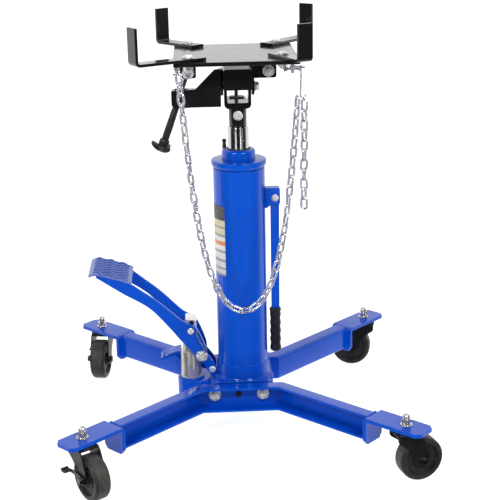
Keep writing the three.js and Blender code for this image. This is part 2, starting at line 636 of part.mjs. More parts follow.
// ---- origin at the bottom centre of the whole box --------------------------------------------------
const bounds = new THREE.Box3();
for (const mesh of group.children) {
  mesh.geometry.computeBoundingBox();
  bounds.union(mesh.geometry.boundingBox);
}
const centre = bounds.getCenter(new THREE.Vector3());
for (const mesh of group.children) mesh.geometry.translate(-centre.x, -centre.y, -bounds.min.z);

export default group;
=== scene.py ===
"""Looks of the foot-pumped transmission jack: gloss paint, chrome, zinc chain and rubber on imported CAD."""

import json
import random
from math import asinh, cos, cosh, pi, radians, sin, sqrt, tan

import bmesh
import bpy
from mathutils import Matrix, Vector, noise

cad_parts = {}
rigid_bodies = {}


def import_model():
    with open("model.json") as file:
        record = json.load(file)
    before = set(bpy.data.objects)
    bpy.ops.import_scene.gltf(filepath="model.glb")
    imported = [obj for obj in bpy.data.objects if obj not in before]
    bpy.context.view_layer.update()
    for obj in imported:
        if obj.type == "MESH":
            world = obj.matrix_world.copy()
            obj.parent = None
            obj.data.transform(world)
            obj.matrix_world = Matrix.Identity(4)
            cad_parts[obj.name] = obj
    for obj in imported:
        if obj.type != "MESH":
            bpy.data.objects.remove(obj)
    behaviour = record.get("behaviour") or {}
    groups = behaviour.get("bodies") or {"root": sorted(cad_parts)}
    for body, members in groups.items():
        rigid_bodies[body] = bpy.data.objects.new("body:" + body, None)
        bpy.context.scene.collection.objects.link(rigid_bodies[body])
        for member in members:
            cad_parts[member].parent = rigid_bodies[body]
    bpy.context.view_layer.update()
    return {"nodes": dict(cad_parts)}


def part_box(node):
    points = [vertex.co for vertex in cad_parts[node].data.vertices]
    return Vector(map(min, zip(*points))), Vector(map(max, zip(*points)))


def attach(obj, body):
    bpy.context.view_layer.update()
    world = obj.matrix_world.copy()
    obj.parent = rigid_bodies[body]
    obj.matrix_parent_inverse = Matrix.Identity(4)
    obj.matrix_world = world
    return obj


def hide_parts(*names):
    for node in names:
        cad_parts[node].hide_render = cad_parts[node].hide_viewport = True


MM = 0.001
RNG = random.Random(7)

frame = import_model()

tube_low, tube_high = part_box("reservoir_tube")
AXIS_X = (tube_low.x + tube_high.x) / 2  # the tube's axis in the row frame
AXIS_Y = (tube_low.y + tube_high.y) / 2
DATUM_Z = tube_low.z - 145.3 * MM  # the tube stands 145.3 mm above the level that heights are given from
FLOOR_Z = 8  # the floor, from that level
ORIGIN, UP = (0, 0, 0), (0, 0, 1)


def new_object(name, data):
    obj = bpy.data.objects.new(name, data)
    bpy.context.scene.collection.objects.link(obj)
    return obj


def at(x, y, z):
    """A point given in millimetres from the tube's axis and the height datum, in the row frame."""
    return Vector((AXIS_X + x * MM, AXIS_Y + y * MM, DATUM_Z + z * MM))


# ---- materials ----


class Nodes:
    """A material and the few node wirings that every finish here uses."""

    def __init__(self, name):
        self.material = bpy.data.materials.new(name)
        self.material.use_nodes = True
        self.tree = self.material.node_tree
        self.shader = self.tree.nodes["Principled BSDF"]
        self.coords = self.tree.nodes.new("ShaderNodeTexCoord")

    def put(self, node, inputs):
        """Sets or links inputs of a node, and gives the node back."""
        for key, value in inputs.items():
            socket = node.inputs[key]
            if isinstance(value, (int, float)):
                socket.default_value = value
            elif isinstance(value, tuple):
                socket.default_value = (*value, 1.0)
            else:
                self.tree.links.new(value, socket)
        return node

    def add(self, kind, inputs):
        return self.put(self.tree.nodes.new(kind), inputs)

    def noise(self, scale, detail=3.0, roughness=0.55):
        inputs = {"Scale": scale, "Detail": detail, "Roughness": roughness}
        inputs["Vector"] = self.coords.outputs["Object"]
        return self.add("ShaderNodeTexNoise", inputs).outputs["Fac"]

    def spread(self, value, low, high, start=0.3, end=0.7):
        """Maps the span from start to end onto the span from low to high."""
        inputs = {"From Min": start, "From Max": end, "To Min": low, "To Max": high, "Value": value}
        return self.add("ShaderNodeMapRange", inputs).outputs["Result"]

    def mix(self, factor, first, second):
        node = self.tree.nodes.new("ShaderNodeMix")
        node.data_type = "RGBA"
        return self.put(node, {"Factor": factor, "A": first, "B": second}).outputs["Result"]

    def edges(self, size):
        """Near 1 along convex edges, where the paint gets its painted highlight."""
        bevel = self.add("ShaderNodeBevel", {"Radius": size})
        normal = self.tree.nodes.new("ShaderNodeNewGeometry")
        dot = self.add("ShaderNodeVectorMath", {0: bevel.outputs["Normal"], 1: normal.outputs["Normal"]})
        dot.operation = "DOT_PRODUCT"
        return self.spread(dot.outputs["Value"], 1.0, 0.0, 0.86, 0.97)

    def bump(self, value, strength, distance):
        node = self.add("ShaderNodeBump", {"Strength": strength, "Distance": distance, "Height": value})
        self.feed(Normal=node.outputs["Normal"])

    def feed(self, **sockets):
        """Sets or links the shader's inputs, with an underscore for each space in a name."""
        self.put(self.shader, {name.replace("_", " "): value for name, value in sockets.items()})
        return self.material


def gloss_paint(name, deep, light, rough, edge, coat=0.18):
    """Paint under a clear coat, with a painted highlight: lighter along the convex edges."""
    n = Nodes(name)
    tone = n.mix(n.spread(n.noise(9.0, 2.0), 0.0, 1.0), deep, light)
    edge_highlight = n.edges(0.0012)
    # painted highlight: the colour turns to the lighter edge colour along convex edges, standing in for the
    # gloss catching light on the bevels
    colour = n.mix(n.spread(edge_highlight, 0.0, 0.55, 0.2, 1.0), tone, edge)
    n.bump(n.noise(420.0, 2.0), 0.035, 0.001)
    n.feed(Base_Color=colour, Roughness=n.spread(n.noise(60.0, 4.0), rough, rough + 0.09))
    return n.feed(Specular_IOR_Level=0.38, Coat_Weight=coat, Coat_Roughness=0.03)


def metal(name, dark, light, rough, grain, bump, metallic=1.0):
    n = Nodes(name)
    tone = n.mix(n.spread(n.noise(35.0, 4.0), 0.0, 1.0), dark, light)
    n.bump(n.noise(grain, 3.0), bump, 0.0006)
    rough = n.spread(n.noise(90.0, 5.0), rough, rough + 0.14)
    return n.feed(Base_Color=tone, Metallic=metallic, Roughness=rough)


def dark_solid(name, dark, light, rough, grain, bump, dust=0.0):
    """Rubber, plastic or black paint, with some dust in its grain."""
    n = Nodes(name)
    tone = n.mix(n.spread(n.noise(22.0, 4.0), 0.0, 1.0), dark, light)
    if dust:
        dusty = n.spread(n.noise(140.0, 6.0, 0.7), 0.0, dust, 0.5, 0.75)
        tone = n.mix(dusty, tone, (0.16, 0.155, 0.145))
    n.bump(n.noise(grain, 3.0), bump, 0.0008)
    return n.feed(Base_Color=tone, Roughness=n.spread(n.noise(70.0, 4.0), rough, rough + 0.15))


def label_paper():
    """A generic sticker: dark head, pale body with grey bars, one orange band. No lettering."""
    n = Nodes("label_paper")
    height = n.add("ShaderNodeSeparateXYZ", {0: n.coords.outputs["Generated"]})
    ramp = n.tree.nodes.new("ShaderNodeValToRGB")
    ramp.color_ramp.interpolation = "CONSTANT"
    paper, grey, black = (0.78, 0.78, 0.75), (0.33, 0.33, 0.33), (0.03, 0.03, 0.035)
    orange, cream = (0.75, 0.22, 0.03), (0.72, 0.66, 0.42)
    stripes = [(0, grey), (0.03, paper), (0.09, grey), (0.12, paper), (0.2, grey), (0.24, paper),
               (0.33, grey), (0.37, paper), (0.44, orange), (0.5, paper), (0.56, grey), (0.6, cream),
               (0.68, grey), (0.71, cream), (0.8, black)]
    stops = ramp.color_ramp.elements
    while len(stops) < len(stripes):
        stops.new(1.0)
    for stop, (place, colour) in zip(stops, stripes):
        stop.position = place
        stop.color = (*colour, 1.0)
    n.put(ramp, {"Fac": height.outputs["Z"]})
    scuffed = n.mix(n.spread(n.noise(160.0, 4.0), 0.0, 0.25), ramp.outputs["Color"], (0.5, 0.5, 0.5))
    return n.feed(Base_Color=scuffed, Roughness=n.spread(n.noise(80.0), 0.3, 0.45))


# each gloss paint's last colour is its painted highlight along the convex edges
BLUE = gloss_paint("blue_paint", (0.0, 0.068, 0.53), (0.0, 0.08, 0.58), 0.11, (0.01, 0.12, 0.7))
# painted reflection: the pedal pad's blue is lighter and paler than the blue paint, standing in for the
# bright backdrop reflected on the pad's top
PAD_BLUE = gloss_paint("pad_blue_painted_reflection", (0.1, 0.16, 0.5), (0.14, 0.2, 0.55), 0.26, (0.2, 0.27, 0.66))
BLACK = gloss_paint("black_paint", (0.006, 0.006, 0.007), (0.01, 0.01, 0.011), 0.14, (0.03, 0.03, 0.032), 0.5)
CHROME = metal("chrome", (0.62, 0.63, 0.65), (0.74, 0.75, 0.77), 0.05, 300.0, 0.03)
NICKEL = metal("nickel", (0.6, 0.59, 0.57), (0.74, 0.73, 0.71), 0.13, 300.0, 0.03, 0.8)
ZINC = metal("zinc", (0.66, 0.68, 0.74), (0.86, 0.88, 0.94), 0.13, 500.0, 0.04, 0.87)
BRIGHT = metal("bright_plating", (0.76, 0.76, 0.76), (0.88, 0.88, 0.86), 0.2, 450.0, 0.02, 0.62)
SATIN = metal("satin_steel", (0.6, 0.57, 0.52), (0.7, 0.67, 0.62), 0.26, 300.0, 0.004, 0.8)
DARK_STEEL = metal("dark_steel", (0.12, 0.12, 0.12), (0.2, 0.2, 0.2), 0.3, 400.0, 0.1)
STEEL = metal("steel", (0.42, 0.42, 0.43), (0.55, 0.55, 0.56), 0.25, 400.0, 0.1)
WHEEL = dark_solid("wheel_plastic", (0.014, 0.0135, 0.0135), (0.03, 0.028, 0.027), 0.4, 350.0, 0.12, 0.22)
TREAD = dark_solid("worn_tread", (0.02, 0.018, 0.016), (0.075, 0.068, 0.06), 0.5, 240.0, 0.25, 0.5)
FORK = dark_solid("fork_black", (0.005, 0.005, 0.006), (0.012, 0.012, 0.012), 0.3, 260.0, 0.08, 0.05)
RUBBER = dark_solid("grip_rubber", (0.008, 0.008, 0.009), (0.016, 0.016, 0.017), 0.42, 900.0, 0.2, 0.1)
KNOB = dark_solid("knob_plastic", (0.012, 0.012, 0.013), (0.022, 0.022, 0.023), 0.3, 800.0, 0.12)
LABEL = label_paper()


# ---- mesh building ----


def arc(centre, radius, start, end, count):
    """Points on an arc, angles in degrees; radius is a number, or a pair for an ellipse."""
    wide, tall = radius if isinstance(radius, tuple) else (radius, radius)
    angles = [radians(start + (end - start) * i / count) for i in range(count + 1)]
    return [(centre[0] + wide * cos(a), centre[1] + tall * sin(a)) for a in angles]


def bend(a, corner, b, count):
    """Points on the curve from a to b that is drawn towards the corner."""
    steps = [k / count for k in range(count + 1)]
    return [tuple((1 - t) ** 2 * a + 2 * t * (1 - t) * corner + t * t * b) for t in steps]


def rounded(points, radius, count=4, closed=True):
    """A closed outline, or an open line, with each corner rounded by up to the radius."""
    out = []
    for i, corner in enumerate(points):
        if not closed and i in (0, len(points) - 1):
            out.append(corner)
            continue
        c = Vector(corner)
        before, after = Vector(points[i - 1]) - c, Vector(points[(i + 1) % len(points)]) - c
        r = min(radius, before.length * 0.45, after.length * 0.45)
        out += bend(c + before.normalized() * r, c, c + after.normalized() * r, count)
    return out


def bands(rows, size):
    """Quads between one closed row of points and the next, for rows that follow each other."""
    return [
        [size * i + k, size * i + (k + 1) % size, size * (i + 1) + (k + 1) % size, size * (i + 1) + k]
        for i in range(rows - 1)
        for k in range(size)
    ]


def from_z(axis):
    """The turn that carries +Z to an axis."""
    return Vector((0, 0, 1)).rotation_difference(Vector(axis)).to_matrix()


class Solid:
    """Collects closed shells, in millimetres of the working frame, into one mesh object."""

    def __init__(self, place=Matrix.Identity(4)):
        self.verts, self.faces = [], []
        self.place = place

    def take(self, verts, faces):
        base = len(self.verts)
        self.verts += [self.place @ Vector(v) for v in verts]
        self.faces += [[base + i for i in face] for face in faces]
        return self

    def prism(self, outline, low, high, axis="z"):
        order = {"x": (2, 0, 1), "y": (0, 2, 1), "z": (0, 1, 2)}[axis]
        n = len(outline)
        verts = [[(u, v, h)[k] for k in order] for h in (low, high) for u, v in outline]
        sides = [[i, (i + 1) % n, n + (i + 1) % n, n + i] for i in range(n)]
        return self.take(verts, sides + [list(range(n))[::-1], list(range(n, 2 * n))])

    def pair(self, outline, low, high, axis):
        """A prism on each side of the middle."""
        return self.prism(outline, -high, -low, axis).prism(outline, low, high, axis)

    def box(self, x0, x1, y0, y1, z0, z1):
        return self.prism([(x0, y0), (x1, y0), (x1, y1), (x0, y1)], z0, z1)

    def lathe(self, profile, centre=ORIGIN, axis=UP, sides=64):
        """profile of (radius, height) along the axis; ends on the axis, or is closed."""
        turn, c = from_z(axis), Vector(centre)
        verts, rows = [], []
        for r, h in profile:
            if r < 1e-6:
                rows.append([len(verts)] * sides)
                verts.append(c + turn @ Vector((0, 0, h)))
                continue
            rows.append(list(range(len(verts), len(verts) + sides)))
            for i in range(sides):
                a = 2 * pi * i / sides
                verts.append(c + turn @ Vector((r * cos(a), r * sin(a), h)))
        pairs = list(zip(rows, rows[1:]))
        if profile[0][0] > 1e-6:
            pairs.append((rows[-1], rows[0]))
        faces = []
        for low, high in pairs:
            for i in range(sides):
                j = (i + 1) % sides
                face = list(dict.fromkeys([low[i], low[j], high[j], high[i]]))
                if len(face) > 2:
                    faces.append(face)
        return self.take(verts, faces)

    def tube(self, path, radius, sides=12, closed=False):
        """A round bar along points; radius is a number or one per point."""
        points = [Vector(p) for p in path]
        n = len(points)
        radii = radius if isinstance(radius, list) else [radius] * n
        side, verts = None, []
        for i, p in enumerate(points):
            ahead = points[(i + 1) % n] if closed or i + 1 < n else p
            behind = points[i - 1] if closed or i else p
            t = (ahead - behind).normalized()
            if side is None:
                side = t.orthogonal()
            side = (side - t * side.dot(t)).normalized()
            up = t.cross(side)
            for k in range(sides):
                a = 2 * pi * k / sides
                verts.append(p + radii[i] * (cos(a) * side + sin(a) * up))
        last = (n - 1) * sides
        if closed:
            ends = [[last + k, last + (k + 1) % sides, (k + 1) % sides, k] for k in range(sides)]
        else:
            ends = [list(range(sides))[::-1], list(range(last, last + sides))]
        return self.take(verts, bands(n, sides) + ends)

    def ribbon(self, line, halves, thick, axis_map):
        """A flat bar that follows a line in one plane, with a half width at each point."""
        verts, n = [], len(line)
        for i in range(n):
            p = Vector(line[i])
            t = (Vector(line[min(i + 1, n - 1)]) - Vector(line[max(i - 1, 0)])).normalized()
            normal = Vector((-t.y, t.x))
            mitre = 1.0
            if 0 < i < n - 1:
                before = (p - Vector(line[i - 1])).normalized()
                mitre = 1 / max(0.5, before.dot(t))
            for edge, depth in ((-1, 0), (1, 0), (1, 1), (-1, 1)):
                q = p - normal * thick * depth * mitre
                verts.append(axis_map(q.x, edge * halves[i], q.y))
        ends = [[3, 2, 1, 0], [4 * n - 4, 4 * n - 3, 4 * n - 2, 4 * n - 1]]
        return self.take(verts, ends + bands(n, 4))

    def hex(self, flats, low, high, centre, axis=UP, turn=0.0):
        """A hexagon bar with its corners turned off, as on a bolt head or nut."""
        r = flats / sqrt(3)
        rows = [(0.94 * r, low), (r, low + 0.6), (r, high - 1.0), (0.93 * r, high)]
        rot, c, verts = from_z(axis), Vector(centre), []
        for radius, h in rows:
            for k in range(6):
                a = radians(60 * k + turn)
                verts.append(c + rot @ Vector((radius * cos(a), radius * sin(a), h)))
        ends = [list(range(6))[::-1], list(range(18, 24))]
        return self.take(verts, ends + bands(4, 6))

    def shaft(self, radius, low, high, centre, axis=UP, sides=32):
        return self.lathe([(0, low), (radius, low), (radius, high), (0, high)], centre, axis, sides)

    def washer(self, radius, low, high, centre, axis=UP, sides=40):
        """A short cylinder with both rims chamfered by half a millimetre."""
        inner = radius - 0.5
        profile = [(0, low), (inner, low), (radius, low + 0.5),
                   (radius, high - 0.5), (inner, high), (0, high)]
        return self.lathe(profile, centre, axis, sides)

    def weld(self, start, end, size=3.2, pitch=3.4):
        """A weld bead: overlapping ripples along a line."""
        a, b = Vector(start), Vector(end)
        length = (b - a).length
        count = max(6, int(length / pitch * 4))
        path, radii = [], []
        for i in range(count + 1):
            s = i / count
            wave = abs(sin(pi * s * length / pitch))
            wander = noise.noise(Vector((s * length * 0.15, a.x * 0.1, a.z * 0.1)))
            path.append(a + (b - a) * s + Vector((0, 0, 0.35 * wander)))
            taper = min(1.0, 0.55 + 6 * s, 0.55 + 6 * (1 - s))
            radii.append(size * (0.78 + 0.18 * wave + 0.1 * wander) * taper)
        return self.tube(path, radii, 8)

    def make(self, name, body, material, slot, replaces=(), bevel=0.0, smooth=32, segments=2):
        mesh = bpy.data.meshes.new(name)
        mesh.from_pydata([at(*v) for v in self.verts], [], self.faces)
        mesh.validate()
        obj = new_object(name, mesh)
        mesh.materials.append(material)
        fix_normals(mesh)
        mesh.polygons.foreach_set("use_smooth", [True] * len(mesh.polygons))
        mesh.set_sharp_from_angle(angle=radians(smooth))
        if bevel:
            edge = obj.modifiers.new("edge", "BEVEL")
            edge.width = bevel * MM
            edge.segments = segments
            edge.limit_method = "ANGLE"
            edge.angle_limit = radians(smooth)
            edge.harden_normals = True
        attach(obj, body)
        if replaces:
            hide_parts(*replaces)
        return obj


def fix_normals(mesh):
    bm = bmesh.new()
    bm.from_mesh(mesh)
    bmesh.ops.recalc_face_normals(bm, faces=bm.faces)
    bm.to_mesh(mesh)
    bm.free()


def finish(material, slot, usual_bevel=0.0):
    """A function that makes a solid into a piece with this material."""

    def make(solid, name, body, replaces=(), bevel=usual_bevel, **more):
        return solid.make(name, body, material, slot, replaces, bevel, **more)

    return make


blue = finish(BLUE, "blue_paint", 0.8)
black = finish(BLACK, "black_paint", 0.8)
chrome = finish(CHROME, "chrome")
plated = finish(BRIGHT, "chrome")  # nuts, bolts and washers, less polished than the rams
zinc = finish(ZINC, "zinc")
rubber = finish(RUBBER, "black_rubber")


# ---- camera ----


def add_camera():
    """The main view: from the front, a little to the left and above."""
    sensor, focal_per_width = 36, 2.4517
    yaw, pitch, roll = radians(2.61), radians(17.4), radians(-1.11)
    forward = Vector((sin(yaw) * cos(pitch), cos(yaw) * cos(pitch), -sin(pitch)))
    right = Vector((cos(yaw), -sin(yaw), 0))
    up = right.cross(forward)
    x_axis = cos(roll) * right + sin(roll) * up
    y_axis = -sin(roll) * right + cos(roll) * up
    data = bpy.data.cameras.new("camera")
    data.sensor_width = sensor
    data.lens = sensor * focal_per_width
    camera = new_object("camera", data)
    turn = Matrix((x_axis, y_axis, -forward)).transposed().to_4x4()
    camera.matrix_world = Matrix.Translation(at(-93.3, -2483.3, 1181.3)) @ turn
    bpy.context.scene.camera = camera


add_camera()


# ---- base frame ----

PLATE_TOP = 127  # top of the channels and the caster plates
BASE_X = -10  # middle of the base, left of the tube's axis
BEND_X, WEB_Y = 92.6, 66  # where the web bends, from the middle, and the web's place
CHANNEL_H, FLANGE_W, SHEET = 54, 32.5, 5
ARM_ANGLE = radians(43.9)
ARM_LEN, PIN_OFF, FOLD = 326.7, 16, 85  # bend to kingpin, kingpin off the web, kingpin to the plate's fold
ARM_END = ARM_LEN - FOLD + 1
BOLT_Z = 102.5  # the web bolts
PUMP = (-113, 4, 0)  # axis of the pump cylinder
ARM_DIR = Vector((-cos(ARM_ANGLE), -sin(ARM_ANGLE)))
ARM_SIDE = Vector((-sin(ARM_ANGLE), cos(ARM_ANGLE)))
CORNERS = {"fl": (-1, -1), "fr": (1, -1), "rl": (-1, 1), "rr": (1, 1)}
SIDES = {-1: "front", 1: "rear"}


def arm_point(along, across):
    return Vector((-BEND_X, -WEB_Y)) + along * ARM_DIR + across * ARM_SIDE


def mirrored(sx, sy):
    """Carries the front left arm's geometry to another corner."""
    return Matrix.Translation((BASE_X, 0, 0)) @ Matrix.Diagonal((-sx, -sy, 1, 1))


def kingpin(corner):
    return mirrored(*CORNERS[corner]) @ arm_point(ARM_LEN, -PIN_OFF).to_3d()


def channel(sy):
    """A bent C channel: its section carried round two mitred bends."""
    low, high = PLATE_TOP - CHANNEL_H, PLATE_TOP
    outer, inner = 7.5, 3.0
    section = [(FLANGE_W, high)]
    section += arc((outer, high - outer), outer, 90, 180, 5) + arc((outer, low + outer), outer, 180, 270, 5)
    section += [(FLANGE_W, low), (FLANGE_W, low + SHEET)]
    centre = SHEET + inner
    section += arc((centre, low + centre), inner, 270, 180, 3)
    section += arc((centre, high - centre), inner, 180, 90, 3)
    section += [(FLANGE_W, high - SHEET)]
    mitre = tan(ARM_ANGLE / 2)
    verts, n = [], len(section)
    for station in range(4):
        for w, z in section:
            if station in (0, 3):
                x, y = arm_point(ARM_END, -w)
            else:
                x, y = -BEND_X + w * mitre, -WEB_Y - w
            verts.append((-x if station > 1 else x, y, z))
    ends = [list(range(n)), list(range(3 * n, 4 * n))[::-1]]
    return Solid(mirrored(-1, sy)).take(verts, ends + bands(4, n))


def caster_plate(solid, corner):
    """The bent plate over a caster, clipped at its outer end and turned down over the channel's end."""
    pin = arm_point(ARM_LEN, -PIN_OFF)
    solid.place = mirrored(*CORNERS[corner])
    radius = 9
    thick, half, clipped_end, clipped_fold = 8, 28, 18, 20
    line = [(48, PLATE_TOP), (38, PLATE_TOP), (-20, PLATE_TOP), (-FOLD + radius, PLATE_TOP)]
    line += arc((-FOLD + radius, PLATE_TOP - radius), radius, 90, 180, 7)[1:] + [(-FOLD, 78), (-FOLD, 68)]
    halves = [clipped_end] + [half] * (len(line) - 2) + [clipped_fold]

    def spot(u, v, z):
        p = pin + u * ARM_DIR + v * ARM_SIDE
        return (p.x, p.y, z)

    solid.ribbon(line[::-1], halves[::-1], thick, spot)


def frame_piece(sy):
    """One channel with its two caster plates, and the weld beads where they meet."""
    name = SIDES[sy]
    corners = [corner for corner in CORNERS if CORNERS[corner][1] == sy]
    s = channel(sy)
    for corner in corners:
        caster_plate(s, corner)
    blue(s, f"{name}_channel", "base", [f"{name}_frame"], bevel=1.4, smooth=25)
    beads = Solid()
    low, high = PLATE_TOP - CHANNEL_H + 6, PLATE_TOP
    back, web, lip = ((*arm_point(ARM_END, across),) for across in (1, -SHEET - 1, -FLANGE_W))
    for corner in corners:
        beads.place = mirrored(*CORNERS[corner])
        beads.weld((*back, high - 3), (*lip, high - 3), 4.2)
        beads.weld((*lip, high - 6), (*lip, low), 2.6)
        beads.weld((*web, high - 8), (*web, low), 3.0)
        beads.weld((*web, low), (*lip, low), 2.6)
        beads.weld((*back, high - 4), (*back, low - 2), 3.0)
    blue(beads, f"{name}_welds", "base", bevel=0, smooth=80)


def web_bolts(sy):
    s = Solid()
    face, out = (WEB_Y + SHEET) * sy, (0, sy, 0)
    for x in (-64.4, 38.8):
        spot = (x, face, BOLT_Z)
        s.washer(13.5, 0, 2.5, spot, out)
        s.hex(19, 2.5, 10, spot, out, RNG.uniform(0, 60))
        s.washer(6, 9.5, 12.5, spot, out)
    plated(s, f"web_bolts_{SIDES[sy]}", "base", bevel=0.4)
    plug = Solid().washer(6.5, 0, 1.8, (-13, face, BOLT_Z), out)
    plug.make(f"web_plug_{SIDES[sy]}", "base", KNOB, "knob_plastic")


def pump_base():
    """The block between the channels, its turned foot round the tube and its seat for the pump cylinder."""
    half = WEB_Y - 0.4
    plan = rounded([(-72, -half), (62, -half), (62, half), (-72, half)], 12, 5)
    s = Solid().prism(plan, 76, PLATE_TOP)
    foot = [(0, 124), (62, 124), (62, 127), (58.8, 131), (57.8, 138), (57.2, 148), (56, 155), (54.2, 159),
            (0, 159)]
    s.lathe(foot, sides=96)
    s.lathe([(0, 76), (28, 76), (30, 78), (30, 115), (26, 119), (0, 119)], PUMP)
    s.prism(rounded([(-113, -24), (-50, -34), (-50, 40), (-113, 32)], 5), 77, 117)
    s.box(-102, -70, 32, 46.5, 92, 116)
    blue(s, "pump_base_block", "base", ["pump_base"], bevel=2.4, smooth=28, segments=3)
    beads = Solid()
    beads.weld((-58, -half + 1, PLATE_TOP), (48, -half + 1, PLATE_TOP), 2.2)
    beads.weld((58, -50, PLATE_TOP), (62, -20, PLATE_TOP), 3.0)
    beads.weld((-84, -28, 118), (-58, -33, 118), 3.0)
    ring = [(x, y, 119) for x, y in arc(PUMP[:2], 27.5, 200, 340, 35)]
    beads.tube(ring, [2.0 + 0.5 * abs(sin(i * 1.7)) for i in range(len(ring))], 8)
    blue(beads, "pump_base_welds", "base", bevel=0, smooth=80)


def pedal_bracket():
    """Two link plates that carry the foot pedal's pivot, with the bolts at their feet."""
    near, far, sheet = -20, 28, 5
    outline = [(-101, 170), (-96, 187), (-83, 187), (-77.6, 176), (-60, 152), (-57, 134), (-66, 128),
               (-77, 134), (-84, 152)]
    link = rounded(outline, 6)
    s = Solid().prism(link, near, near + sheet, "y").prism(link, far - sheet, far, "y")
    s.box(-72, -60, near, far, 116, 132)
    blue(s, "pedal_bracket_links", "base", ["pedal_bracket"])
    c = Solid()
    for side, face in ((-1, near), (1, far)):
        spot, out = (-67.5, face, 140.5), (0, side, 0)
        c.hex(11, 0.3, 5, spot, out, 12).washer(7.5, 0, 1.2, spot, out)
    plated(c, "link_bolts", "base", bevel=0.3)


for sy in SIDES:
    frame_piece(sy)
for sy in SIDES:
    web_bolts(sy)
pump_base()
pedal_bracket()


# ---- casters ----

TRAIL, WHEEL_R, WHEEL_HALF = 29, 46, 17
AXLE = (TRAIL, 0, FLOOR_Z + WHEEL_R)
TURNS = {"fl": -55, "fr": 16, "rl": -100, "rr": 168}  # how far each caster is swivelled
BRAKED = ("fl", "rl")


def caster_solid(corner):
    """A solid built with the kingpin at x = y = 0 and the wheel trailing towards +x."""
    return Solid(Matrix.Translation(kingpin(corner)) @ Matrix.Rotation(radians(TURNS[corner]), 4, "Z"))


def caster_wheel(corner):
    s = caster_solid(corner)
    w = WHEEL_HALF
    half = [(6.2, -w - 1), (12, -w - 1), (13, -w), (13.6, -12), (17, -11), (18, -13), (20.5, -13),
            (21.5, -10.5), (30, -10), (33, -11), (34.6, -w + 0.6), (36, -w), (40.4, -w), (41.2, -w + 1.4),
            (43.6, -w + 1.8), (45.4, -w + 4.5), (45.9, -w + 9), (WHEEL_R, 0)]
    other = [(r, -h) for r, h in reversed(half[:-1])]
    s.lathe(half + other, AXLE, (0, 1, 0), 96)
    s.make(f"wheel_{corner}", f"wheel_{corner}", WHEEL, "black_rubber", [f"caster_wheel_{corner}"], smooth=30)
    band = caster_solid(corner)
    band.lathe([(45, -12), (45.9, -12), (46, -10.5), (46, 10.5), (45.9, 12), (45, 12)], AXLE, (0, 1, 0), 96)
    band.make(f"tread_{corner}", f"wheel_{corner}", TREAD, "black_rubber", smooth=40)


def caster_fork(corner):
    """The fork with its two legs, crown and swivel race, and the axle with its nuts."""
    inner, outer, z = 19, 22.5, AXLE[2]
    leg = rounded([(-26, 113), (24, 113), (34, 92), (43, z + 12), (40, z - 7), (TRAIL, z - 13),
                   (18, z - 7), (9, z + 14), (-6, 86), (-26, 99)], 8)
    s = caster_solid(corner).pair(leg, inner, outer, "y")
    s.prism(rounded([(-26, -outer), (26, -outer), (26, outer), (-26, outer)], 6), 109.5, 113)
    race = [(0, 112), (26, 112), (27, 113.2), (25.5, 115.2), (24, 116), (25, 117), (25, 118.2), (24, 118.7),
            (0, 118.7)]
    s.lathe(race, sides=48)
    s.make(f"fork_{corner}", f"fork_{corner}", FORK, "black_paint", [f"caster_fork_{corner}"], bevel=0.7)
    a = caster_solid(corner)
    for side in (-1, 1):
        reach = 26.4 if side < 0 and corner in BRAKED else 22.9
        a.washer(8.5, reach - 0.4, reach + 1.2, AXLE, (0, side, 0), 28)
        a.hex(13, reach + 1.2, reach + 5.5, AXLE, (0, side, 0), 20)
    a.shaft(6, -22, 22, AXLE, (0, 1, 0), 24)
    a.make(f"axle_{corner}", f"fork_{corner}", DARK_STEEL, "steel", bevel=0.3)


def kingpin_nut(corner):
    """Two washers, a nut and a domed cap."""
    s = Solid(Matrix.Translation(kingpin(corner)))
    s.washer(12.4, PLATE_TOP, 129.2, ORIGIN)
    s.washer(10.6, 129.2, 131.2, ORIGIN)
    s.hex(17, 131.2, 141, ORIGIN, turn=RNG.uniform(0, 60))
    s.lathe([(0, 140.5), (7.6, 140.5)] + arc((0, 145), (7.6, 6.6), 0, 81, 9) + [(0, 151.6)], sides=40)
    s.make(f"kingpin_nut_{corner}", "base", NICKEL, "chrome", [f"kingpin_{corner}"], bevel=0.3)


def brake_lever(corner):
    """A bar beside the near leg, with a ribbed tab to press."""
    z = AXLE[2]
    side = rounded([(TRAIL - 9, z - 8), (TRAIL + 9, z - 8), (TRAIL + 9, z + 6), (TRAIL, z + 10), (6, z + 12),
                    (-22, z + 8), (-22, z + 3), (4, z + 4)], 4)
    s = caster_solid(corner).prism(side, -26.1, -23.1, "y")
    tab = [(-26, z + 9), (-22, z + 3.5), (-9, z + 4.5), (-9, z + 8), (-21, z + 7), (-24, z + 11)]
    tab = rounded(tab, 1.2)
    s.prism(tab, -39, -23.2, "y")
    for k in range(3):
        x = -20 + 4 * k
        s.tube([(x, -38, z + 7.2 + 0.1 * k), (x, -27, z + 7.2 + 0.1 * k)], 0.9, 8)
    s.make(f"brake_{corner}", f"brake_{corner}", FORK, "black_paint", [f"brake_lever_{corner}"], bevel=0.6)


for corner in CORNERS:
    caster_wheel(corner)
    caster_fork(corner)
    kingpin_nut(corner)
for corner in BRAKED:
    brake_lever(corner)


# ---- hydraulic column ----

TUBE_R, TUBE_TOP = 54, 591.4
RAM_R, RAM_FOOT, RAM_TOP = 22, 200, 671
INNER_R, POST_R, POST_TOP = 15, 18.3, 709


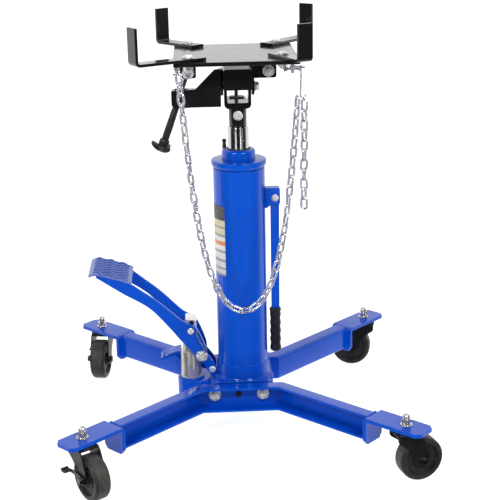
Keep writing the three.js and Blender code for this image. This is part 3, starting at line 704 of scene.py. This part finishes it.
def column():
    """From the outside in: tube, cap, gland collar, first and second stage rams, post sleeve."""

    def turned(profile, sides, centre=ORIGIN):
        return Solid().lathe(profile, centre, sides=sides)

    tube = turned([(50, 145.4), (TUBE_R, 145.4), (TUBE_R, TUBE_TOP), (50, TUBE_TOP)], 128)
    blue(tube, "tube_skin", "base", ["reservoir_tube"], bevel=0.5)
    cap = turned([(35, 585), (TUBE_R, 585), (TUBE_R, 588), (55, 590), (57, 591.8), (57.5, 593), (57.5, 600),
                  (56.4, 601.6), (55, 602), (35, 602)], 128)
    blue(cap, "cap_skin", "base", ["reservoir_cap"], smooth=40, bevel=0)
    collar = turned([(23, 600), (35, 600), (35, 618), (34.4, 620.5), (32.6, 622.6), (30, 623.8), (25, 624),
                     (23, 622.5)], 96)
    blue(collar, "collar_skin", "base", ["gland_collar"], smooth=40, bevel=0)
    wiper = turned([(22.1, 622), (24.6, 622), (24.6, 625), (23.6, 626.4), (22.1, 626.4)], 96)
    rubber(wiper, "ram_wiper", "base", smooth=40)
    valve = [(0, 601), (4.2, 601), (4.2, 628), (3.4, 629), (3.4, 632), (4.4, 633), (4.4, 639), (0, 640)]
    rubber(turned(valve, 24, (-28.5, 24, 0)), "valve_pin", "base", smooth=40)
    ram = turned([(15.6, RAM_FOOT), (RAM_R, RAM_FOOT), (RAM_R, 668), (21.2, 670.2), (19.6, RAM_TOP),
                  (15.6, RAM_TOP)], 96)
    chrome(ram, "outer_ram_skin", "outer_ram", ["outer_ram"], smooth=40)
    inner = Solid().shaft(INNER_R, RAM_FOOT, POST_TOP, ORIGIN, sides=80)
    chrome(inner, "inner_ram_skin", "inner_ram", ["inner_ram"], smooth=40)
    post = turned([(15.2, 671.4), (17.4, 671.4), (POST_R, 672.6), (POST_R, POST_TOP), (15.2, POST_TOP)], 80)
    black(post, "post_skin", "inner_ram", ["post_sleeve"], bevel=0, smooth=40)
    spot, out = (0, 0, 695.5), (0, -1, 0)
    bolt = Solid().hex(15, 18.5, 26, spot, out, 18)
    bolt.lathe([(0, 17.6), (9.8, 17.6), (10, 18.4), (9.4, 19.4), (0, 19.4)], spot, out, 40)
    plated(bolt, "post_bolt_head", "inner_ram", ["post_bolt"], bevel=0.3)


def tube_label():
    """A generic sticker wrapped on the tube's front left."""
    steps, low, high = 16, 359, 510
    verts = [(x, y, z) for x, y in arc((0, 0), TUBE_R + 0.25, 186, 232, steps) for z in (low, high)]
    faces = [[2 * i, 2 * i + 2, 2 * i + 3, 2 * i + 1] for i in range(steps)]
    sticker = Solid().take(verts, faces).make("tube_label", "base", LABEL, "blue_paint")
    thick = sticker.modifiers.new("thickness", "SOLIDIFY")
    thick.thickness = 0.25 * MM
    thick.offset = 1.0


column()
tube_label()
frame["nodes"]["pressure_cylinder"].data.materials[0] = STEEL


# ---- head ----

PITCH_Z = 752
ROLL_X, ROLL_Z = 61, 792


def yoke():
    """The U that stands on the post, its rear lugs and the pitch bolt across it."""
    outline = [(-27.5, 764), (-27.5, 718)] + arc((-18, 719.5), 9.5, 190, 270, 5)
    mirror = [(-x, z) for x, z in reversed(outline)]
    inner = [(21.5, 764), (21.5, 724), (19.5, 722), (-19.5, 722), (-21.5, 724), (-21.5, 764)]
    s = Solid().prism(outline + mirror + inner, -21, 21, "y")
    black(s, "yoke_skin", "inner_ram", ["yoke"], bevel=1.2, smooth=28)
    lug = rounded([(18, 711), (65, 705), (69, 714), (62, 723), (18, 722)], 4)
    black(Solid().pair(lug, 15, 20, "x"), "yoke_lugs", "inner_ram")
    b, spot = Solid(), (0, 0, PITCH_Z)
    for side in (-1, 1):
        b.washer(11, 35, 37, spot, (side, 0, 0), 36)
        b.hex(17, 37, 44.5, spot, (side, 0, 0), 8)
    b.shaft(6, -35, 35, spot, (1, 0, 0))
    plated(b, "pitch_bolt_set", "inner_ram", ["pitch_bolt"], bevel=0.4)


def tilt_box():
    """An open box over the yoke, with cheeks for the pitch bolt and ears for the roll bolt."""
    x, y, low, top = 29, 62, 755, 797
    s = Solid()
    section = rounded([(-x, low), (-x, top), (x, top), (x, low)], 5)
    shell = [p for p in section if p[1] > low + 0.1]
    outer = [(-x, low)] + shell + [(x, low)]
    inner = [(x - 3.5, low), (x - 3.5, top - 4), (-x + 3.5, top - 4), (-x + 3.5, low)]
    s.pair(outer + inner, 24, y, "y")
    s.prism([(u, max(v, 773)) for u, v in outer + inner], -24, 24, "y")
    front = [(-x + 3.4, low), (x - 3.4, low), (x - 3.4, top - 3.8), (-x + 3.4, top - 3.8)]
    s.prism(front, -y + 0.5, -y + 4, "y")
    cheek = rounded([(-20, 790), (-20, 752), (-12, 736), (12, 736), (20, 752), (20, 790)], 5)
    s.pair(cheek, x, x + 5.5, "x")
    ear = rounded([(28, 778), (77, 778), (77, 809), (28, 809)], 6)
    s.pair(ear, 50, 56, "y").box(34, 40, -56, 56, 778, 784)
    black(s, "tilt_box_skin", "tilt", ["tilt_box"], bevel=1.0, smooth=28)
    b, spot = Solid(), (ROLL_X, 0, ROLL_Z)
    for side in (-1, 1):
        b.washer(12, 56.2, 58, spot, (0, side, 0))
        b.hex(15, 58, 65, spot, (0, side, 0), 14)
        b.lathe([(0, 64), (5.2, 64), (5.2, 67), (4.4, 68), (0, 68)], spot, (0, side, 0), 24)
    b.shaft(6, -57, 57, spot, (0, 1, 0))
    plated(b, "roll_bolt_set", "tilt", ["roll_bolt"], bevel=0.4)


def bracket_arm():
    """The plate and ribs to the left of the tilt box, which hold the roll screw's swivel."""
    inner = -34.8
    plate = [(-134, 728), (-128, 720), (inner, 727), (inner, 798), (-44, 798), (-84, 759), (-134, 757)]
    s = Solid().prism(rounded(plate, 3), -60, -55, "y")
    s.box(-133, -126, -58, -30, 727, 756)
    s.box(-101, inner, -58, -30, 752, 757)
    s.box(-108, inner, -58, -30, 722, 727)
    s.box(-127, -100, -34.5, -30, 738, 757)
    s.box(inner - 5, inner, -58, -20, 727, 794)
    black(s, "bracket_arm_skin", "tilt", ["bracket_arm"], bevel=1.0)
    rib = Solid().tube([(-84, -60.4, 759), (-44.5, -60.4, 798)], 1.8, 8)
    black(rib, "bracket_arm_edge", "tilt", bevel=0, smooth=80)


def knob(solid, foot, turn):
    """A knob with three lobes that droop towards their tips."""
    sides, verts = 96, []
    rows = [(0, -1), (0.86, -1), (0.97, 0.4), (1, 3), (0.98, 6.2), (0.9, 8.4), (0.55, 10.2), (0, 11)]
    for scale, h in rows:
        for i in range(sides):
            a = 2 * pi * i / sides
            radius = scale * (18.0 + 6.5 * cos(3 * a))
            spot = (radius * cos(a), radius * sin(a), h - 0.011 * radius**2)
            verts.append(foot + turn @ Vector(spot))
    solid.take(verts, bands(len(rows), sides))


def adjuster(name, top, foot, swivel, axis, barrel_half, swivel_half, headed):
    """A screw with a knob at its foot, the swivel it turns in and the barrel at its top."""
    screw, turning, barrel = f"{name}_screw", f"{name}_swivel", f"{name}_barrel"
    top, foot = Vector(top), Vector(foot)
    direction, length = (foot - top).normalized(), (foot - top).length
    thread = [(0, -10)]
    h = -10.0
    while h < 78:
        thread += [(4.5, h + 0.2), (4.0, h + 0.95)]
        h += 1.5
    rod = Solid().lathe(thread + [(4.4, 80), (0, 80)], top, direction, 28)
    rod.make(f"{name}_rod", screw, STEEL, "steel", smooth=60)
    grip, end = Solid(), length - 14
    grip.lathe([(0, 76), (6.2, 76), (6.8, 78), (7.6, length - 36), (7.2, end), (0, end)], top, direction, 32)
    collar = [(0, -16), (9.4, -16), (10.4, -14.6), (10.4, -9), (9.6, -4), (10.2, 3), (0, 5)]
    grip.lathe(collar, foot, direction, 32)
    knob(grip, foot, from_z(direction))
    grip.make(f"{name}_knob", screw, KNOB, "knob_plastic", [screw], smooth=50)

    def necked(half, neck, spot):
        """A round bar between two thinner ends."""
        profile = [(0, -neck), (5.9, -neck), (5.9, -half), (10.4, -half)]
        return Solid().lathe(profile + [(r, -h) for r, h in reversed(profile)], spot, axis, 32)

    sleeve = necked(swivel_half, swivel_half + 5.6, swivel)
    sleeve.make(turning, turning, STEEL, "steel", [turning], bevel=0.4)
    neck = barrel_half + 6
    b = necked(barrel_half, neck, top)
    if headed:
        b.washer(12.4, neck, neck + 2, top, (0, -1, 0))
        head = [(0, 2), (11, 2), (11.4, 3), (10.4, 5), (7, 6), (5.4, 4.6), (0, 4.4)]
        b.lathe([(radius, neck + h) for radius, h in head], top, (0, -1, 0), 40)
    plated(b, barrel, barrel, [barrel], bevel=0.3)


yoke()
tilt_box()
bracket_arm()
adjuster("roll", (-99, -45, 792), (-155.4, -45, 641.3), (-115, -45, 749), (0, 1, 0), 8.6, 9.6, True)
adjuster("pitch", (0, 54, 770), (0, 54 + 5 / 56 * 148, 622), (0, 59, 714), (1, 0, 0), 24.8, 14.6, False)


# ---- saddle ----

PLATE_LOW, PLATE_HIGH = 814, 822
ARM_LOW, ARM_THICK = PLATE_HIGH + 0.3, 6
ARMS = {  # the bolt's place, the way the arm points and how far it reaches
    "fl": ((-98, -104, 0), 209, 121),
    "rl": ((-98, 104, 0), 131, 84),
    "fr": ((88, -84, 0), -64, 86),
    "rr": ((86, 104, 0), 50, 118),
}


def saddle():
    """The plate, the ear and lug under it, and the bolts that the four arms turn on."""
    left, right, half, under = -127, 119, 128, PLATE_LOW - 0.2
    plan = rounded([(left, -half), (right, -half), (right, half), (left, half)], 4)
    s = Solid().prism(plan, PLATE_LOW, PLATE_HIGH)
    black(s, "saddle_skin", "saddle", ["saddle_plate"], bevel=1.2, smooth=40)
    ear = rounded([(-115, 781), (-83, 781), (-83, under), (-115, under)], 5)
    e = Solid().prism(ear, -60, -54.5, "y").prism(ear, -35.5, -30, "y")
    e.box(-115, -111.5, -58, -32, 789, under)
    black(e, "saddle_ear_skin", "saddle", ["saddle_ear"])
    lug = rounded([(48, 777), (74, 777), (74, under), (48, under)], 6)
    g = Solid().pair(lug, 44, 49.6, "y").box(48, 74, -48, 48, 807, under)
    black(g, "saddle_lug_skin", "saddle", ["saddle_lug"])
    studs, top = Solid(), ARM_LOW + ARM_THICK
    head = [(0, 1.6), (10.4, 1.6), (10.2, 3.2), (8, 5), (4, 6), (0, 6.2)]
    for spot, _, _ in ARMS.values():
        studs.washer(12, top, top + 1.6, spot)
        studs.lathe([(radius, top + h) for radius, h in head], spot, sides=40)
        studs.washer(11, PLATE_LOW - 2, PLATE_LOW, spot)
        studs.hex(17, 804, PLATE_LOW - 2, spot, turn=RNG.uniform(0, 60))
        studs.washer(5.8, 800, 805, spot)
    plated(studs, "saddle_arm_bolts", "saddle", bevel=0.3)


def saddle_arm(corner):
    """A flat bar that turns up at its end."""
    spot, turn, reach = ARMS[corner]
    s = Solid(Matrix.Translation(spot) @ Matrix.Rotation(radians(turn), 4, "Z"))
    low, radius, half = ARM_LOW, 10, 16.5
    line = [(-32, low), (0, low), (reach - radius, low)]
    line += arc((reach - radius, low + radius), radius, -90, 0, 6)[1:] + [(reach, 860), (reach, 896)]
    s.ribbon(line, [half] * len(line), -ARM_THICK, lambda u, v, z: (u, v, z))
    black(s, f"arm_{corner}_bar", f"arm_{corner}", [f"saddle_arm_{corner}"], bevel=0.9, smooth=25)


saddle()
for corner in ARMS:
    saddle_arm(corner)


# ---- chain ----

CHAIN_Y, CHAIN_X, CHAIN_LOW, CHAIN_A = -136, -1, 315, 34  # the lowest point and the catenary's parameter
TAIL_X, TAIL_TOP, TAIL_LINKS = 125, 745, 11
LINK_PITCH, LINK_HALF, LINK_WIRE = 19.6, 5.7, 2.45


def link_shape(solid, centre, along, turn):
    """One welded link: a stadium of round wire with a slight swelling at its weld."""
    t = along.normalized()
    side = t.cross(Vector((0, 1, 0))).normalized()
    across = Matrix.Rotation(turn, 3, t) @ side
    straight = LINK_PITCH / 2 + LINK_WIRE - LINK_HALF - 0.4
    half = arc((straight, 0), LINK_HALF, -90, 90, 6)
    points = [centre + t * (end * u) + across * (end * v) for end in (1, -1) for u, v in half]
    points.append(centre - t * 0.5 - across * LINK_HALF)
    solid.tube(points, [LINK_WIRE] * (len(points) - 1) + [LINK_WIRE * 1.16], 8, closed=True)


def catenary(s):
    x = CHAIN_A * asinh(s / CHAIN_A)
    return Vector((CHAIN_X + x, CHAIN_Y, CHAIN_LOW + CHAIN_A * (cosh(x / CHAIN_A) - 1)))


def arc_at(height):
    """Length of chain from the lowest point up to a height."""
    c = 1 + (height - CHAIN_LOW) / CHAIN_A
    return CHAIN_A * sqrt(c * c - 1)


def chain():
    """The hanging loop, its tail and the wire hook that holds both."""
    s = Solid()
    left, right = -arc_at(803), arc_at(752)
    count = int((right - left) / LINK_PITCH)
    pitch = (right - left) / count
    for i in range(count):
        here = left + (i + 0.5) * pitch
        a, b = catenary(here - pitch / 2), catenary(here + pitch / 2)
        swing = RNG.uniform(-0.22, 0.22)
        link_shape(s, (a + b) / 2, b - a, (i % 2) * pi / 2 + 0.55 + swing)
    zinc(s, "chain_links", "chain", ["chain"], smooth=60)
    tail = Solid()
    for i in range(TAIL_LINKS):
        drop = (i + 0.5) * LINK_PITCH
        centre = Vector((TAIL_X - 0.01 * drop + RNG.uniform(-0.5, 0.5), CHAIN_Y, TAIL_TOP - drop))
        along = Vector((RNG.uniform(-0.05, 0.05), 0.01, -1))
        link_shape(tail, centre, along, (i % 2) * pi / 2 + RNG.uniform(0.3, 0.8))
    zinc(tail, "chain_tail_links", "chain", ["chain_tail"], smooth=60)
    path = [(119, CHAIN_Y, 809), (118.6, CHAIN_Y, 790), (118, CHAIN_Y, 772), (117.4, CHAIN_Y, 760)]
    path += [(x, CHAIN_Y, z) for x, z in arc((122.4, 757), (5, 6.5), 180, 360, 9)]
    zinc(Solid().tube(path, 1.9, 10), "chain_hook_wire", "chain", ["chain_hook"], smooth=60)


def chain_anchors():
    """Eye bolt with a wing nut under the right front corner, ring bolt under the left one."""
    x, y = 104, -118
    s = Solid().shaft(3.6, 796, PLATE_LOW, (x, y, 0), sides=20)
    s.lathe([(0, 803), (7, 803), (6, 811), (0, 811)], (x, y, 0), sides=28)
    for side in (-1, 1):
        wing = [(5, 805), (17, 812), (19, 806), (16, 799), (6, 803)]
        s.prism([(x + side * u, v) for u, v in wing], y - 1.2, y + 1.2, "y")
    s.tube([(x, y, 809), (112, -128, 810), (119, CHAIN_Y, 810), (126, -133, 809)], 1.9, 10)
    left = (-121, -120, 0)
    s.shaft(3.6, 800, PLATE_LOW, left, sides=20).hex(12, 807, PLATE_LOW, left)
    ring = arc((left[0], left[1] - 10), (6.5, 8), 0, 360, 20)[:-1]
    s.tube([(x, y, 801) for x, y in ring], 1.7, 8, closed=True)
    zinc(s, "chain_anchors", "saddle", smooth=50, bevel=0.2)


chain()
chain_anchors()


# ---- foot pump ----


def pedal_side(name, outer, inner):
    """One side plate, which leans in from y = outer near the pad to y = inner near the pivot."""
    outline = [(-306, 369), (-276, 347), (-246, 325.5), (-222, 311), (-202, 297), (-186, 282), (-171, 264),
               (-152, 240), (-132, 213), (-116, 194), (-105, 180), (-101, 168), (-92, 162), (-82, 164),
               (-77, 173), (-78, 188), (-84, 206), (-91, 224), (-99, 240), (-112, 249), (-128, 258),
               (-142, 271), (-158, 287), (-174, 302), (-191, 316), (-212, 332), (-233, 348.4), (-240, 351.4),
               (-262, 359.4), (-304, 370.6)]
    pad_x, pivot_x = -240, -100
    slope = (inner - outer) / (pivot_x - pad_x)
    shear = Matrix.Identity(4)
    shear[1][0] = slope
    shear[1][3] = outer - slope * pad_x
    s = Solid(shear).prism(rounded(outline, 6, 3), -3, 3, "y")
    blue(s, f"{name}_skin", "pedal", [name], bevel=1.0, smooth=40)


def pedal_pad():
    """A bent plate with a drooping lip and a wavy tread, and the block between the side plates."""
    line = [(-321.4, 371.6), (-313.5, 375.6), (-300, 375.4), (-262, 365), (-231.4, 353.8)]
    line = rounded(line, 7, 5, closed=False)
    half, middle, thick = 57, 9, 4.6
    s = Solid().ribbon(line, [half] * len(line), thick, lambda u, v, z: (u, v + middle, z))
    s.make("pedal_pad_plate", "pedal", PAD_BLUE, "blue_paint", ["pedal_pad"], bevel=0.9, smooth=30)
    tread = Solid()
    start, length, wave, swing = -311, 72, 26, 5

    def surface(x):
        for a, b in zip(line, line[1:]):
            if a[0] <= x <= b[0]:
                return a[1] + (b[1] - a[1]) * (x - a[0]) / (b[0] - a[0])
        return line[-1][1]

    for row in range(7):
        points, radii = [], []
        for t in (i / 40 for i in range(41)):
            x = start + length * t
            y = -40 + row * 16.3 + swing * sin(2 * pi * (x - start) / wave)
            points.append((x, y, surface(x) + 0.9))
            radii.append(2.1 * min(1.0, 0.3 + 8 * t, 0.3 + 8 * (1 - t)))
        tread.tube(points, radii, 8)
    tread.make("pedal_tread", "pedal", PAD_BLUE, "blue_paint", smooth=80)
    block = Solid().prism(rounded([(-124, 232), (-99, 229), (-99, 254), (-123, 257)], 3), -16, 22, "y")
    block.make("pedal_block", "pedal", BRIGHT, "steel", bevel=1.4)
    # painted shade: a thin dark disc on the block's face stands in for the shade inside a hole
    hole_shade = Solid().shaft(5.4, 0, 0.5, (-110, -16, 247), (0, -1, 0), 28)
    hole_shade.make("pedal_block_hole_shade", "pedal", DARK_STEEL, "steel")


def pump():
    cylinder = [(9.6, 119.4), (23.4, 119.4), (23.8, 121), (22, 122.4), (22, 176), (21, 178.6), (17.4, 180.4),
                (17.4, 190.6), (16.2, 192), (9.6, 192)]
    body = Solid().lathe(cylinder, PUMP, sides=80)
    body.make("pump_cylinder_skin", "base", SATIN, "steel", ["pump_cylinder"], smooth=40)
    plunger = [(0, 140), (9, 140), (9, 215), (10.5, 217), (15, 218.4), (15, 227.6), (14, 228.6), (0, 228.6)]
    chrome(Solid().lathe(plunger, PUMP, sides=48), "plunger_skin", "plunger", ["pump_plunger"], smooth=40)


def pedal_hardware():
    """The push pin over the plunger, the two pivots and the return wire."""
    x, z = -111.6, 235
    s = Solid()
    for side, face in ((-1, -31.8), (1, 40.4)):
        s.lathe([(0, 0), (7.4, 0), (7.4, 1.4), (6.4, 3), (3, 4), (0, 4.2)], (x, face, z), (0, side, 0), 32)
    s.shaft(6, -32, 41, (x, 0, z), (0, 1, 0))
    plated(s, "push_pin_set", "pedal", ["pedal_pin"], bevel=0.4)
    for name, side, face in (("near", -1, -29.4), ("far", 1, 37.2)):
        spot, out = (-89.6, face, 176), (0, side, 0)
        p = Solid().washer(12.5, 0, 2.0, spot, out).hex(17, 2.0, 8, spot, out, 5).shaft(6, -15, 1, spot, out)
        plated(p, f"pivot_{name}_set", "base", [f"pedal_pivot_{name}"], bevel=0.4)
    path = [(-97, -33, 238), (-99, -35.5, 228), (-94, -36, 214), (-86, -36.5, 200), (-82, -36.5, 190),
            (-84, -36, 184)]
    Solid().tube(path, 1.6, 8).make("pedal_wire", "pedal", STEEL, "steel", smooth=60)


def release_pedal():
    """A lever to its bolt and a ribbed tread across its end."""
    x, z = -92, 104
    bar = [(x - 9, z - 7), (x + 7, z - 9), (x + 9, z + 5), (x - 4, z + 10), (-138, 160), (-150, 157),
           (-150, 149)]
    s = Solid().prism(rounded(bar, 3), 49, 57, "y")
    s.prism(rounded([(-181, 147), (-177, 143.4), (-134, 158), (-134, 163.4), (-152, 160)], 2), 36, 74, "y")
    for k in range(7):
        u = -174 + 6 * k
        top = 149.6 + 0.5 * (u + 181) * 0.62
        s.tube([(u, 38, top), (u, 72, top)], 1.5, 8)
    blue(s, "release_pedal_skin", "release", ["release_pedal"], bevel=0.7)
    plated(Solid().hex(15, 47.5, 64, (x, 0, z), (0, 1, 0)), "release_bolt", "release", bevel=0.3)


pedal_side("pedal_arm_near", -41, -27)
pedal_side("pedal_arm_far", 53, 35)
pedal_pad()
pump()
pedal_hardware()
release_pedal()


# ---- pull handle ----


def pull_handle():
    """The bracket on the tube, and the flat bar with its rubber grip that folds on the bracket's bolt."""
    x, z = 74, 520
    cheek = rounded([(54.5, 495), (66, 503), (84.5, 503), (84.5, 539), (54.5, 539)], 4)
    s = Solid().pair(cheek, 7.5, 11, "y")
    s.box(54.3, 58, -10, 10, 496, 538.5).box(54.5, 83, -10, 10, 535.8, 539)
    blue(s, "handle_bracket_skin", "base", ["handle_bracket"])
    welds = Solid()
    for y in (-12, 12):
        welds.weld((54.2, y, 497), (54.2, y, 538), 2.4)
    blue(welds, "handle_bracket_welds", "base", bevel=0, smooth=80)
    outline = [(63.5, 186), (80.5, 186), (83, 512), (83, 524), (79, 530.4), (68, 530.4), (64.5, 524)]
    bar = Solid().prism(rounded(outline, 4), -4, 4, "y")
    blue(bar, "handle_bar_skin", "handle", ["handle_bar"], bevel=1.0)
    bolt = Solid()
    for side in (-1, 1):
        spot, out = (x, 0, z - 2), (0, side, 0)
        bolt.washer(7.6, 11.2, 12.4, spot, out).hex(11, 12.4, 17, spot, out, 12)
    bolt.shaft(5.9, -12, 12, (x, 0, z), (0, 1, 0), 24)
    plated(bolt, "handle_bolt_set", "base", ["handle_bolt"], bevel=0.3)
    profile = [(0, 171.6), (7, 171.8), (10.5, 173.4), (12, 176.5)]
    profile += [(12.2 - 1.5 * abs(sin(pi * (h - 180) / 19)), h) for h in range(180, 263, 2)]
    profile += [(12.2, 264), (12.4, 268), (11.6, 271), (9, 271.6), (0, 271.6)]
    grip = Solid(Matrix.Translation((72, 0, 0)) @ Matrix.Diagonal((1.0, 0.9, 1, 1))).lathe(profile, sides=56)
    rubber(grip, "handle_grip_skin", "handle", ["handle_grip"], smooth=50)


pull_handle()


# ---- studio ----


def lamp(name, spot, aim, width, height, energy):
    """A soft rectangular lamp, itself out of the picture."""
    data = bpy.data.lights.new(name, "AREA")
    data.shape = "RECTANGLE"
    data.size, data.size_y = width, height
    data.energy = energy
    place = new_object(name, data)
    way = Vector(aim) - Vector(spot)
    place.matrix_world = Matrix.Translation(spot) @ way.to_track_quat("-Z", "Y").to_matrix().to_4x4()
    place.visible_camera = False
    return place


def dim_front():
    """A dark half dome on the viewer's side, out of the picture, which gives the gloss its contrast."""
    radius, reach = 18.0, 0.12
    bm = bmesh.new()
    bmesh.ops.create_uvsphere(bm, u_segments=64, v_segments=32, radius=radius)
    gone = [face for face in bm.faces if face.calc_center_median().y > reach * radius]
    bmesh.ops.delete(bm, geom=gone, context="FACES")
    mesh = bpy.data.meshes.new("dim_surround")
    bm.to_mesh(mesh)
    bm.free()
    dome = new_object("dim_surround", mesh)
    dome.visible_camera = False
    n = Nodes("surround_grey")
    split = n.add("ShaderNodeSeparateXYZ", {0: n.coords.outputs["Object"]})
    ramp = n.add("ShaderNodeValToRGB", {"Fac": n.spread(split.outputs["Y"], 0.0, 1.0, -radius, radius)})
    stops = ramp.color_ramp.elements
    for place, level in ((0.36, 0.028), (0.48, 0.26)):
        stop = stops.new(place)
        stop.color = (level, level, level, 1)
    stops[0].color = (0.016, 0.016, 0.016, 1)
    stops[-1].position = 0.56
    n.feed(Base_Color=(0, 0, 0), Roughness=1.0, Specular_IOR_Level=0.0)
    dome.data.materials.append(n.feed(Emission_Color=ramp.outputs["Color"], Emission_Strength=1.0))


def studio():
    """A white room, dim behind the camera, with two soft key lamps and two low strips for the metal."""
    bpy.ops.mesh.primitive_plane_add(size=120, location=(0, 0, -0.0005))
    floor = bpy.context.object
    floor.name = "floor"
    floor.visible_glossy = False
    n = Nodes("floor_white")
    tone = n.mix(n.noise(2.0), (0.46, 0.46, 0.46), (0.5, 0.5, 0.5))
    n.feed(Base_Color=tone, Roughness=0.8)
    floor.data.materials.append(n.feed(Emission_Color=(1, 1, 1), Emission_Strength=0.86))
    world = bpy.data.worlds.new("studio")
    bpy.context.scene.world = world
    world.use_nodes = True
    background = world.node_tree.nodes["Background"]
    background.inputs["Color"].default_value = (1, 1, 1, 1)
    background.inputs["Strength"].default_value = 1.03
    dim_front()
    lamp("key_left", (-1.5, -2.3, 2.3), (0, 0, 0.4), 0.7, 0.6, 44.0)
    lamp("key_right", (1.3, -2.3, 2.3), (0, 0, 0.4), 0.7, 0.6, 40.0)
    metal_only = bpy.data.collections.new("metal_only")
    metals = (CHROME, NICKEL, BRIGHT, SATIN, ZINC, STEEL)
    for obj in bpy.context.scene.objects:
        if obj.type == "MESH" and obj.data.materials and obj.data.materials[0] in metals:
            metal_only.objects.link(obj)
    for name, x in (("strip_left", -1.2), ("strip_right", 1.05)):
        strip = lamp(name, (x, -2.4, -0.2), (0, 0, -0.2), 0.5, 2.4, 6.5)
        strip.light_linking.receiver_collection = metal_only
    bpy.context.scene.view_settings.view_transform = "Standard"


studio()
